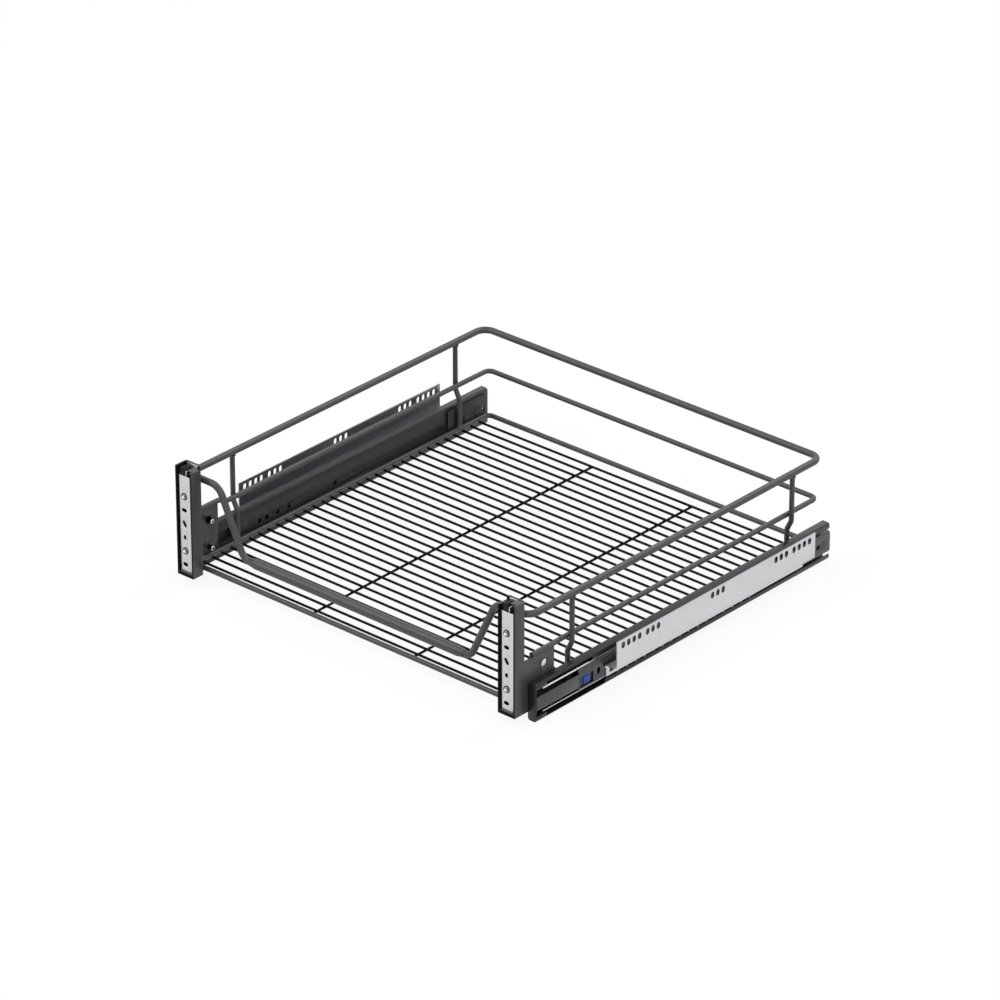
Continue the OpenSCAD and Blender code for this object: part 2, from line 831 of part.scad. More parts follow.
// What is cut from the upper lip, or with flip from the lower one, behind its front stretch
module lip_gap(gap_back, flip) {
    low_t = slide_h / 2 - channel_lip - past;
    translate([side_x + channel_depth - lip_root, slide_y + lip_front, slide_z])
        mirror([0, 0, flip])
            translate([0, 0, low_t])
                cube([lip_root + past, gap_back - lip_front, channel_lip + past - lip_root]);
}

// The front face, from the middle of the sheet on one side to the other and out to the tongue.
// Its corners are cut so that they stay within the sheet's bends.
module channel_face() {
    half = (slide_h - slide_t) / 2;
    inner = slide_t / 2;
    outer = channel_depth - slide_t / 2;
    cut = channel_bend * (2 - sqrt(2));
    upper = [
        [slide_w, tongue_h / 2],
        [outer, tongue_h / 2],
        [outer, half - cut],
        [outer - cut, half],
        [inner + cut, half],
        [inner, half - cut]
    ];
    translate([side_x, slide_y + slide_t, slide_z])
        rotate([90, 0, 0])
            linear_extrude(slide_t)
                polygon(concat(upper, [for (p = reversed(upper)) [p.x, -p.y]]));
}

module slide_channel_right() {
    color(ANTHRACITE) placed() slide_channel();
}

module slide_channel_left() {
    color(ANTHRACITE) placed() on_left() slide_channel();
}

// Rivets: a head inside the basket and a shank flush with the slide's inner face
module channel_rivets() {
    for (y = rear_rivets_y)
        translate([0, y, slide_z])
            rotate([0, 90, 0])
                union() {
                    translate([0, 0, side_x - upright_t - rivet_head_t])
                        cylinder(h = rivet_head_t, d = rivet_head_d);
                    translate([0, 0, side_x - upright_t]) cylinder(h = upright_t + slide_t, d = rivet_d);
                }
}

module channel_rivets_right() {
    color(ANTHRACITE) placed() channel_rivets();
}

module channel_rivets_left() {
    color(ANTHRACITE) placed() on_left() channel_rivets();
}

// Middle member of the slide
middle_bend = 1.9;
middle_half_path = concat(
    [[[middle_s, middle_half - slide_t / 2], middle_bend]],
    lip(race_s, middle_half - slide_t / 2, inner_ball / 2 + ball_gap + slide_t / 2, 2 * atan(1 / 2), 1)
);
middle_hole_gap = 20;
middle_hole_d = 6;

module slide_middle() {
    difference() {
        slide_member(middle_half_path, slide_t, middle_front, middle_back);
        for (y = [middle_front + middle_hole_gap, middle_back - middle_hole_gap])
            side_hole(y, slide_z, middle_hole_d, side_x + middle_s - slide_t / 2, side_x + middle_s);
    }
}

module slide_middle_right() {
    color(ANTHRACITE) placed() slide_middle();
}

module slide_middle_left() {
    color(ANTHRACITE) placed() on_left() slide_middle();
}

// Cages: thin strips that space the balls. The outer cage's are joined by a web, and each of
// the inner cage's has a lip that shows beside the cabinet member.
outer_cage_bend = 1.2;
inner_cage_bend = 0.8;
outer_cage_half = [
    [[outer_cage_s, outer_race_t], outer_cage_bend],
    [[race_s + outer_cage_reach, outer_race_t], 0]
];
inner_cage_lip = inner_race_t - cabinet_half - 0.2;
inner_cage_half = [
    [[race_s - inner_cage_back_reach, inner_race_t], 0],
    [[race_s + inner_cage_reach, inner_race_t], inner_cage_bend],
    [[race_s + inner_cage_reach, inner_race_t - inner_cage_lip], 0]
];

// Depths of the balls in a row that ends at y_back
function ball_row(y_front, y_back) = [
    for (y = [y_back - ball_pitch / 2:-ball_pitch:y_front]) y
];
outer_row = ball_row(outer_cage_front + outer_ball, outer_cage_back);
inner_row = ball_row(inner_balls_front, inner_cage_back);

module cage(half, ball_d, race_t, row, y_front, y_back, web = true) {
    pocket = ball_d + 0.2;
    difference() {
        slide_member(half, cage_t, y_front, y_back, web);
        for (y = row, end = [-1, 1])
            translate([side_x + race_s, y, slide_z + end * race_t - past])
                cylinder(h = 2 * past, d = pocket);
    }
}

module balls(ball_d, race_t, row) {
    for (y = row, end = [-1, 1])
        translate([side_x + race_s, y, slide_z + end * race_t]) sphere(d = ball_d);
}

module outer_cage_right() {
    color(ANTHRACITE) placed()
        cage(outer_cage_half, outer_ball, outer_race_t, outer_row, outer_cage_front, outer_cage_back);
}

module outer_cage_left() {
    color(ANTHRACITE) placed() on_left()
        cage(outer_cage_half, outer_ball, outer_race_t, outer_row, outer_cage_front, outer_cage_back);
}

module outer_balls_right() {
    color(NICKEL) placed() balls(outer_ball, outer_race_t, outer_row);
}

module outer_balls_left() {
    color(NICKEL) placed() on_left() balls(outer_ball, outer_race_t, outer_row);
}

module inner_cage_right() {
    color(NICKEL) placed()
        cage(inner_cage_half, inner_ball, inner_race_t, inner_row,
             inner_cage_front, inner_cage_back, web = false);
}

module inner_cage_left() {
    color(NICKEL) placed() on_left()
        cage(inner_cage_half, inner_ball, inner_race_t, inner_row,
             inner_cage_front, inner_cage_back, web = false);
}

module inner_balls_right() {
    color(NICKEL) placed() balls(inner_ball, inner_race_t, inner_row);
}

module inner_balls_left() {
    color(NICKEL) placed() on_left() balls(inner_ball, inner_race_t, inner_row);
}

// Cabinet member of the slide, with the release lever's window near its front end
cabinet_bend = 2.4;
cabinet_half_path = concat(
    [[[slide_w - slide_t / 2, cabinet_half - slide_t / 2], cabinet_bend]],
    lip(race_s, cabinet_half - slide_t / 2, inner_ball / 2 + ball_gap + slide_t / 2, 2 * atan(1 / 3), -1)
);
lever_window_y = cabinet_front + 13;
lever_window_l = 22;
lever_window_h = 13;
// The window, the lever and its pin lie this far below the slide's centre line
lever_drop = 3;
lever_z = slide_z - lever_drop;
lever_pin_y = cabinet_front + 27;
// An upright slot behind the lever, and a round hole at the back end
cabinet_slot_y = cabinet_front + 32.5;
cabinet_slot_w = 5;
cabinet_slot_l = 8.5;
cabinet_hole_gap = 21.5;
cabinet_hole_d = 6;

module slide_cabinet() {
    web_in = cabinet_face_x - slide_t;
    difference() {
        slide_member(cabinet_half_path, slide_t, cabinet_front, slide_back);
        translate([web_in - past, lever_window_y - lever_window_l / 2, lever_z - lever_window_h / 2])
            cube([slide_t + 2 * past, lever_window_l, lever_window_h]);
        side_hole(lever_pin_y, lever_z, lever_pin_d, web_in, cabinet_face_x);
        side_slot(cabinet_slot_y, slide_z, cabinet_slot_w, cabinet_slot_l, web_in, cabinet_face_x);
        side_hole(slide_back - cabinet_hole_gap, slide_z, cabinet_hole_d, web_in, cabinet_face_x);
        for (y = strip_rivets_y)
            side_hole(y, strip_rivet_z, rivet_d, web_in, cabinet_face_x);
    }
}

module slide_cabinet_right() {
    color(ANTHRACITE) placed() slide_cabinet();
}

module slide_cabinet_left() {
    color(ANTHRACITE) placed() on_left() slide_cabinet();
}

// Mounting strip: a slotted leg on the side wall, a fold inwards and a leg down the slide
strip_groups = [[-146.1, 4], [-110, 3], [0, 3], [110, 3], [146.1, 4]];
// The lower leg starts this far behind the strip's front end, and has a square window
strip_foot_gap = 2.5;
strip_window = 7;
strip_window_y = 11.2;

module mounting_strip() {
    front = slide_y + strip_y;
    back = front + strip_len;
    bend = strip_bend + strip_t / 2;
    wall = wall_x - strip_t / 2;
    inner = cabinet_face_x + strip_t / 2;
    fold = strip_fold_z + strip_t / 2;
    difference() {
        run_from(back)
            folded_sheet([
                [[wall, strip_top], 0],
                [[wall, fold], bend],
                [[inner, fold], bend],
                [[inner, strip_low], 0]
            ], strip_t, strip_len);
        for (group = strip_groups, i = [0:group[1] - 1])
            side_slot(
                (front + back) / 2 + group[0] + (i - (group[1] - 1) / 2) * slot_pitch,
                strip_slot_z, slot_w, slot_l, wall_x - strip_t, wall_x
            );
        for (y = strip_rivets_y)
            side_hole(y, strip_rivet_z, rivet_d, cabinet_face_x, cabinet_face_x + strip_t);
        translate([cabinet_face_x - past, front - past, strip_low - past])
            cube([strip_t + 2 * past, strip_foot_gap + past, fold - bend - strip_low + past]);
        translate([cabinet_face_x - past, front + strip_window_y, strip_rivet_z])
            translate([0, -strip_window / 2, -strip_window / 2])
                cube([strip_t + 2 * past, strip_window, strip_window]);
    }
}

module mounting_strip_right() {
    color(ZINC) placed() mounting_strip();
}

module mounting_strip_left() {
    color(ZINC) placed() on_left() mounting_strip();
}

// Rivets that hold a mounting strip to the cabinet member
module strip_rivets() {
    head = 6.5;
    inner_head_t = 1;
    for (y = strip_rivets_y)
        translate([0, y, strip_rivet_z])
            rotate([0, 90, 0])
                union() {
                    translate([0, 0, cabinet_face_x - slide_t])
                        cylinder(h = slide_t + strip_t, d = rivet_d);
                    translate([0, 0, cabinet_face_x + strip_t]) cylinder(h = rivet_head_t, d = head);
                    translate([0, 0, cabinet_face_x - slide_t - inner_head_t])
                        cylinder(h = inner_head_t, d = head);
                }
}

module strip_rivets_right() {
    color(NICKEL) placed() strip_rivets();
}

module strip_rivets_left() {
    color(NICKEL) placed() on_left() strip_rivets();
}

// Release lever: a flat plate behind the window, with a finger tab that stands into it
lever_gap = 0.05;
lever_back_x = cabinet_face_x - slide_t - free;
lever_head_t = 1;
lever_head_d = lever_pin_d + 2.5;

module lever_pin() {
    head_x = lever_back_x - lever_t - free;
    translate([head_x, lever_pin_y, lever_z])
        rotate([0, 90, 0]) cylinder(h = lever_t + 2 * free + slide_t, d = lever_pin_d);
    translate([head_x - lever_head_t, lever_pin_y, lever_z])
        rotate([0, 90, 0]) cylinder(h = lever_head_t, d = lever_head_d);
}

module lever_pin_right() {
    color(ANTHRACITE) placed() lever_pin();
}

module lever_pin_left() {
    color(ANTHRACITE) placed() on_left() lever_pin();
}

module release_lever() {
    eye = 9;
    plate_h = 11;
    tab_l = 9;
    tab_h = 8.2;
    tab_short = 0.1;
    front = lever_window_y - 9;
    inner_x = lever_back_x - lever_t;
    difference() {
        union() {
            translate([inner_x, lever_pin_y, lever_z])
                rotate([0, 90, 0]) cylinder(h = lever_t, d = eye);
            translate([inner_x, front, lever_z - plate_h / 2])
                cube([lever_t, lever_pin_y - eye / 2 - front, plate_h]);
            translate([inner_x, front, lever_z - eye / 2])
                cube([lever_t, lever_pin_y - front, eye]);
            translate([inner_x, lever_window_y + free - tab_l / 2, lever_z - tab_h / 2])
                cube([lever_t + free + slide_t - tab_short, tab_l, tab_h]);
        }
        side_hole(lever_pin_y, lever_z, lever_pin_d + 2 * lever_gap, inner_x, lever_back_x);
    }
}

module release_lever_right() {
    color(BLUE) placed() release_lever();
}

module release_lever_left() {
    color(BLUE) placed() on_left() release_lever();
}

top_rail();
front_tube();
mid_rail();
post_front_left();
post_front_right();
post_rear_left();
post_rear_right();
floor_ring();
floor_wires();
support_wire_left();
support_wire_right();
upright_left();
upright_right();
front_plate_left();
front_plate_right();
front_inserts_left();
front_inserts_right();
adjuster_bracket_left();
adjuster_bracket_right();
adjuster_block_left();
adjuster_block_right();
rear_bracket_left();
rear_bracket_right();
slide_channel_left();
slide_channel_right();
wing_studs_left();
wing_studs_right();
channel_rivets_left();
channel_rivets_right();
slide_middle_left();
slide_middle_right();
outer_cage_left();
outer_cage_right();
outer_balls_left();
outer_balls_right();
inner_cage_left();
inner_cage_right();
inner_balls_left();
inner_balls_right();
slide_cabinet_left();
slide_cabinet_right();
mounting_strip_left();
mounting_strip_right();
strip_rivets_left();
strip_rivets_right();
lever_pin_left();
lever_pin_right();
release_lever_left();
release_lever_right();
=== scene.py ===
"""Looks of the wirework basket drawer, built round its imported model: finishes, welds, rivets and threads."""

import logging
import math
from contextlib import contextmanager
from dataclasses import dataclass
from enum import Enum
from typing import Callable, Iterator

import bmesh
import bpy
from mathutils import Matrix, Vector


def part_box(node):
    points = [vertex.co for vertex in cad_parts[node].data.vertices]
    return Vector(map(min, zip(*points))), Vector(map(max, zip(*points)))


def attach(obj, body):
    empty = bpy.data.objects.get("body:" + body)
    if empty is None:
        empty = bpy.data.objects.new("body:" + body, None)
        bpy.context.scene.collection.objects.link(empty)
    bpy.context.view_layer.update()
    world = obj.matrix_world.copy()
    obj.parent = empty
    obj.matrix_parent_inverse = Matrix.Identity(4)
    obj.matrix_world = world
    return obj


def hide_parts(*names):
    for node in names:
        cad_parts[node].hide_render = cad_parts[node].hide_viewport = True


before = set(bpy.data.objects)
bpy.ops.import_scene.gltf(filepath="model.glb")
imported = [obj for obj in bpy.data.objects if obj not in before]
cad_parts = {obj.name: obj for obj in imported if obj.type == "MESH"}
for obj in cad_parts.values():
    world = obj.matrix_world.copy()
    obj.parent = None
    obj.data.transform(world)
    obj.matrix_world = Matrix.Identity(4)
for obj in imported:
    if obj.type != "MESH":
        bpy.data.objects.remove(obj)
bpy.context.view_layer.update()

LOG = logging.getLogger("drawer")
MM = 0.001
# The sRGB curve: a straight foot up to its knee, and a power above it
SRGB_KNEE = 0.04045
SRGB_FOOT = 12.92
SRGB_OFFSET = 0.055
SRGB_POWER = 2.4
# The least share of a normal along an axis for a face to count as turned that way
MOSTLY = 0.6
SQUARELY = 0.9
# How near two planes lie to count as one, in millimetres
HAIR = 0.1


class Side(Enum):
    """The two sides of the drawer, by the sign of X."""

    LEFT = -1
    RIGHT = 1

    @property
    def word(self) -> str:
        """The side's name, as it ends the names of nodes."""
        return self.name.lower()


class Slot(Enum):
    """The record's material slots."""

    COAT = "anthracite_coat"
    SLIDE = "dark_slide_steel"
    ZINC = "zinc_plate"
    NICKEL = "bright_nickel"
    BLACK = "black_plastic"
    BLUE = "blue_plastic"


def linear(hex_colour: str) -> tuple[float, float, float, float]:
    """Turns an sRGB hex value to linear light.

    Args:
        hex_colour: The colour, as "#rrggbb".

    Returns:
        Red, green, blue and an alpha of 1.
    """
    parts = [int(hex_colour[i : i + 2], 16) / 255 for i in (1, 3, 5)]
    light = [
        part / SRGB_FOOT if part <= SRGB_KNEE else ((part + SRGB_OFFSET) / (1 + SRGB_OFFSET)) ** SRGB_POWER
        for part in parts
    ]
    return (light[0], light[1], light[2], 1.0)


def add_node(tree: bpy.types.NodeTree, kind: str, settings: dict | None = None, **sockets: object) -> bpy.types.Node:
    """Adds a node with its settings, values and links.

    Args:
        tree: The node tree that gets the node.
        kind: The node's type name.
        settings: Properties of the node itself.
        **sockets: Values or source sockets by input name, with _ for a space, or in0, in1 by place.

    Returns:
        The new node.
    """
    node = tree.nodes.new(kind)
    for key, value in (settings or {}).items():
        setattr(node, key, value)
    for key, value in sockets.items():
        place = int(key[2:]) if key[:2] == "in" and key[2:].isdigit() else key.replace("_", " ")
        if isinstance(value, bpy.types.NodeSocket):
            tree.links.new(value, node.inputs[place])
        else:
            node.inputs[place].default_value = value
    return node


@dataclass(frozen=True)
class Finish:
    """One real finish, drawn by nodes on Object coordinates.

    The base colour drifts between two close tones, a fine grain changes the roughness, and the
    same grain, pressed flat or drawn out along the way that the metal was worked, gives the relief.
    """

    name: str
    tone: str
    drift: str
    drift_mm: float
    metallic: float
    roughness: float
    roughness_swing: float
    grain_mm: tuple[float, float, float]
    relief_mm: float
    shine: float = 0.5
    cloud_detail: float = 3.0
    cloud_roughness: float = 0.55
    grain_detail: float = 2.0

    def make(self) -> bpy.types.Material:
        """Builds the finish's material.

        Returns:
            The new material.
        """
        material = bpy.data.materials.new(self.name)
        material.use_nodes = True
        tree = material.node_tree
        tree.nodes.clear()
        place = add_node(tree, "ShaderNodeTexCoord").outputs["Object"]
        cloud = add_node(
            tree, "ShaderNodeTexNoise", Vector=place, Scale=1 / (self.drift_mm * MM),
            Detail=self.cloud_detail, Roughness=self.cloud_roughness,
        )
        # The Mix node takes its factor at socket 0, and its two colours at 6 and 7
        colour = add_node(
            tree, "ShaderNodeMix", {"data_type": "RGBA"},
            in0=cloud.outputs["Fac"], in6=linear(self.tone), in7=linear(self.drift),
        )
        stretch = add_node(
            tree, "ShaderNodeMapping", Vector=place, Scale=tuple(1 / (size * MM) for size in self.grain_mm)
        )
        grain = add_node(
            tree, "ShaderNodeTexNoise", Vector=stretch.outputs["Vector"], Scale=1.0,
            Detail=self.grain_detail, Roughness=0.5,
        )
        rough = add_node(
            tree, "ShaderNodeMapRange", Value=grain.outputs["Fac"], To_Min=self.roughness - self.roughness_swing,
            To_Max=self.roughness + self.roughness_swing,
        )
        relief = add_node(
            tree, "ShaderNodeBump", Height=grain.outputs["Fac"], Distance=self.relief_mm * MM, Strength=1.0
        )
        shader = add_node(
            tree, "ShaderNodeBsdfPrincipled", Base_Color=colour.outputs[2], Metallic=self.metallic,
            Roughness=rough.outputs["Result"], Normal=relief.outputs["Normal"],
            Specular_IOR_Level=self.shine,
        )
        add_node(tree, "ShaderNodeOutputMaterial", Surface=shader.outputs["BSDF"])
        return material


# Polyester powder coat on steel: satin, with a fine orange peel about a millimetre across
ANTHRACITE_COAT = Finish(
    name="anthracite powder coat", tone="#494848", drift="#504f4e", drift_mm=60,
    metallic=0.0, roughness=0.37, roughness_swing=0.06,
    grain_mm=(0.9, 0.9, 0.9), relief_mm=0.02,
)
# The same coat painted near black: on the thin drawn wires and their welds, and as painted shade on cut edges, in
# deep channels and on the studs
WIRE_COAT_AND_SHADE = Finish(
    name="near-black powder coat and painted shade", tone="#0a0a0a", drift="#0f0f10", drift_mm=60,
    metallic=0.0, roughness=0.55, roughness_swing=0.03,
    grain_mm=(0.9, 0.9, 0.9), relief_mm=0.004, shine=0.1,
)
# The same coat painted a little darker as shade, on the plates and rivets at the back of the basket
REAR_SHADED_COAT = Finish(
    name="powder coat on rear plates", tone="#2b2b2a", drift="#313130", drift_mm=60,
    metallic=0.0, roughness=0.40, roughness_swing=0.06,
    grain_mm=(0.9, 0.9, 0.9), relief_mm=0.02, shine=0.4,
)
# Dark electro-dipped roll-formed steel: smoother, with faint lines along its length
DARK_SLIDE_STEEL = Finish(
    name="dark roll-formed steel", tone="#29292b", drift="#313133", drift_mm=40,
    metallic=0.1, roughness=0.32, roughness_swing=0.06,
    grain_mm=(0.8, 30, 0.8), relief_mm=0.01, shine=0.38,
)
# Near-black steel on the slide's middle member and outer cage; the same near black is painted as shade on the
# mounting strips' slot walls
NEAR_BLACK_STEEL_AND_SHADE = Finish(
    name="near-black steel and painted shade", tone="#111213", drift="#18191a", drift_mm=30,
    metallic=0.3, roughness=0.38, roughness_swing=0.07,
    grain_mm=(0.8, 30, 0.8), relief_mm=0.01, shine=0.3,
)
# A lighter grey of the same steel, on the cabinet member and the channels' front tongues
LIGHTER_GREY_STEEL = Finish(
    name="lighter grey steel", tone="#48494b", drift="#525355", drift_mm=40,
    metallic=0.3, roughness=0.34, roughness_swing=0.06,
    grain_mm=(0.8, 30, 0.8), relief_mm=0.01,
)
# Blue-passivated zinc on cold-rolled sheet: pale, softly streaked the way the strip was rolled
ZINC_PLATE = Finish(
    name="blue-passivated zinc", tone="#c7c9ca", drift="#d6d7d8", drift_mm=14,
    metallic=1.0, roughness=0.40, roughness_swing=0.08,
    grain_mm=(0.6, 12, 0.6), relief_mm=0.012,
)
# Zinc on punched edges, duller and greyer, and the same grey zinc painted as shade on the side turned inwards
DULL_ZINC_AND_SHADE = Finish(
    name="dull zinc on punched edges", tone="#84878a", drift="#909396", drift_mm=14,
    metallic=0.8, roughness=0.34, roughness_swing=0.08,
    grain_mm=(0.6, 12, 0.6), relief_mm=0.012,
)
# Bright nickel on turned and pressed steel: mirror-like, with a little haze
BRIGHT_NICKEL = Finish(
    name="bright nickel", tone="#d6d5d1", drift="#e0dfdc", drift_mm=8,
    metallic=1.0, roughness=0.2, roughness_swing=0.05,
    grain_mm=(0.5, 0.5, 0.5), relief_mm=0.004,
)
# Moulded black nylon: matt, with a fine spark-eroded grain; also painted as shade in a ring round each threaded
# insert
BLACK_NYLON_AND_SHADE = Finish(
    name="moulded black nylon and painted shade", tone="#0a0a0b", drift="#0e0e10", drift_mm=10,
    metallic=0.0, roughness=0.48, roughness_swing=0.08,
    grain_mm=(0.35, 0.35, 0.35), relief_mm=0.02, shine=0.25,
)
# Moulded blue acetal: slightly waxy gloss
BLUE_ACETAL = Finish(
    name="moulded blue acetal", tone="#2a5bce", drift="#3166dc", drift_mm=8,
    metallic=0.0, roughness=0.30, roughness_swing=0.05,
    grain_mm=(0.4, 0.4, 0.4), relief_mm=0.01,
)
# The same acetal, painted darker as shade on all of the lever but the tab's outer face
SHADED_BLUE_ACETAL = Finish(
    name="blue acetal with painted shade", tone="#12214f", drift="#16285e", drift_mm=8,
    metallic=0.0, roughness=0.34, roughness_swing=0.05,
    grain_mm=(0.4, 0.4, 0.4), relief_mm=0.01,
)


def clear_selection() -> None:
    """Deselects every object."""
    bpy.ops.object.select_all(action="DESELECT")


def make_active(piece: bpy.types.Object) -> None:
    """Selects one piece alone and makes it the active one.

    Args:
        piece: The object.
    """
    clear_selection()
    piece.select_set(True)
    bpy.context.view_layer.objects.active = piece


def apply_place(piece: bpy.types.Object) -> None:
    """Moves a piece's place, turn and scale into its mesh.

    Args:
        piece: The object, which ends at the origin.
    """
    make_active(piece)
    bpy.ops.object.transform_apply(location=True, rotation=True, scale=True)


@contextmanager
def editing(piece: bpy.types.Object, kind: str = "FACE") -> Iterator[None]:
    """Opens a piece in edit mode with nothing selected, and closes it again.

    Args:
        piece: The object to edit.
        kind: What is selected in it: VERT, EDGE or FACE.

    Yields:
        Nothing; the work is done inside the block.
    """
    make_active(piece)
    bpy.ops.object.mode_set(mode="EDIT")
    bpy.ops.mesh.select_mode(type=kind)
    bpy.ops.mesh.select_all(action="DESELECT")
    yield
    bpy.ops.object.mode_set(mode="OBJECT")


def pick_faces(piece: bpy.types.Object, wanted: Callable[[bmesh.types.BMFace], bool]) -> None:
    """Selects the faces that pass a test, in edit mode.

    Args:
        piece: The object that is being edited.
        wanted: The test.
    """
    shape = bmesh.from_edit_mesh(piece.data)
    for face in shape.faces:
        face.select_set(wanted(face))
    bmesh.update_edit_mesh(piece.data)


def apply_modifier(piece: bpy.types.Object, kind: str, **settings: object) -> None:
    """Adds a modifier with its settings and applies it.

    Args:
        piece: The object.
        kind: The modifier's type.
        **settings: Its properties.
    """
    make_active(piece)
    modifier = piece.modifiers.new(kind.lower(), kind)
    for key, value in settings.items():
        setattr(modifier, key, value)
    bpy.ops.object.modifier_apply(modifier=modifier.name)


def smooth(piece: bpy.types.Object, degrees: float = 35.0) -> None:
    """Shades a piece smooth, apart from its sharp edges.

    Args:
        piece: The object.
        degrees: The angle from which an edge stays sharp.
    """
    make_active(piece)
    bpy.ops.object.shade_smooth_by_angle(angle=math.radians(degrees))


def turned(name: str, profile: list[tuple[float, float]], segments: int = 24) -> bpy.types.Object:
    """Turns a piece about its own Z axis, one step of its profile after another.

    Args:
        name: The piece's name.
        profile: Radius and height of each step in millimetres, from the back face on.
        segments: The sides of its round.

    Returns:
        The closed piece, standing at the origin.
    """
    clear_selection()
    radius, height = profile[0]
    bpy.ops.mesh.primitive_circle_add(
        vertices=segments, radius=radius * MM, fill_type="NGON", location=(0, 0, height * MM)
    )
    piece = bpy.context.object
    piece.name = name
    apply_place(piece)
    with editing(piece):
        bpy.ops.mesh.select_all(action="SELECT")
        for (r0, z0), (r1, z1) in zip(profile, profile[1:]):
            bpy.ops.mesh.extrude_region_move(TRANSFORM_OT_translate={"value": (0, 0, (z1 - z0) * MM)})
            bpy.ops.transform.resize(value=(r1 / r0, r1 / r0, 1), center_override=(0, 0, z1 * MM))
        bpy.ops.mesh.select_all(action="SELECT")
        bpy.ops.mesh.normals_make_consistent(inside=False)
    return piece


def facing(place: Vector, direction: Vector) -> Matrix:
    """Works out how a piece that was made along Z stands at a place.

    Args:
        place: Where its origin goes.
        direction: Where its Z axis points.

    Returns:
        The matrix that puts it there.
    """
    return Matrix.Translation(place) @ direction.to_track_quat("Z", "Y").to_matrix().to_4x4()


def copies(name: str, model: bpy.types.Object, places: list[Matrix]) -> bpy.types.Object:
    """Copies a model to its places, each with its own mesh, and joins them.

    Args:
        name: The joined piece's name.
        model: The model, which is used up.
        places: Where each copy goes.

    Returns:
        The joined piece, at the origin.
    """
    made = []
    for place in places:
        copy = model.copy()
        copy.data = model.data.copy()
        bpy.context.scene.collection.objects.link(copy)
        copy.matrix_world = place
        made.append(copy)
    bpy.data.objects.remove(model, do_unlink=True)
    clear_selection()
    for copy in made:
        copy.select_set(True)
    bpy.context.view_layer.objects.active = made[0]
    bpy.ops.object.transform_apply(location=True, rotation=True, scale=True)
    if len(made) > 1:
        bpy.ops.object.join()
    joined = bpy.context.view_layer.objects.active
    joined.name = name
    joined.data.name = name
    return joined


class Wardrobe:
    """Every finish of the drawer, each made once and handed out by its slot."""

    def __init__(self) -> None:
        """Makes the materials."""
        self.by_slot: dict[Slot, bpy.types.Material] = {
            Slot.COAT: ANTHRACITE_COAT.make(),
            Slot.SLIDE: DARK_SLIDE_STEEL.make(),
            Slot.ZINC: ZINC_PLATE.make(),
            Slot.NICKEL: BRIGHT_NICKEL.make(),
            Slot.BLACK: BLACK_NYLON_AND_SHADE.make(),
            Slot.BLUE: BLUE_ACETAL.make(),
        }
        self.wire = WIRE_COAT_AND_SHADE.make()
        self.rear = REAR_SHADED_COAT.make()
        self.near_black_and_shade = NEAR_BLACK_STEEL_AND_SHADE.make()
        self.lighter_grey = LIGHTER_GREY_STEEL.make()
        self.dull_and_shade = DULL_ZINC_AND_SHADE.make()
        self.shaded_blue = SHADED_BLUE_ACETAL.make()

    def dress(self, piece: bpy.types.Object, slot: Slot, material: bpy.types.Material | None = None) -> None:
        """Puts a finish on all of a piece.

        Args:
            piece: The object to dress.
            slot: The finish's slot.
            material: Another material of the same slot, if not the slot's own.
        """
        piece.data.materials.clear()
        piece.data.materials.append(material or self.by_slot[slot])

    def dress_nodes(self, slot: Slot, names: list[str], material: bpy.types.Material | None = None) -> None:
        """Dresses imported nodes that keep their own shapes.

        Args:
            slot: The finish's slot.
            names: The nodes' names.
            material: Another material of the same slot, if not the slot's own.
        """
        for name in names:
            self.dress(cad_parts[name], slot, material)
            LOG.info("dressed %s in %s", name, slot.value)

    def paint(
        self, piece: bpy.types.Object, material: bpy.types.Material, wanted: Callable[[bpy.types.MeshPolygon], bool]
    ) -> None:
        """Gives some of a piece's faces a second finish.

        Args:
            piece: The object.
            material: The second finish.
            wanted: The test that picks the faces.
        """
        piece.data.materials.append(material)
        last = len(piece.data.materials) - 1
        for face in piece.data.polygons:
            if wanted(face):
                face.material_index = last

    def hand_over(self, piece: bpy.types.Object, body: str, slot: Slot, *nodes: str) -> None:
        """Makes a finished piece ride on its body, in the place of the nodes that it stands for.

        Args:
            piece: The finished piece.
            body: The body that it moves with.
            slot: Its material slot; not used.
            *nodes: The nodes that it replaces.
        """
        if nodes:
            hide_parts(*nodes)
        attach(piece, body)
        LOG.info("made %s, %d faces, on %s", piece.name, len(piece.data.polygons), body)


@dataclass(frozen=True)
class Lamp:
    """One square soft lamp: where it hangs, the length of its sides and its power."""

    place: tuple[float, float, float]
    size: float
    watts: float


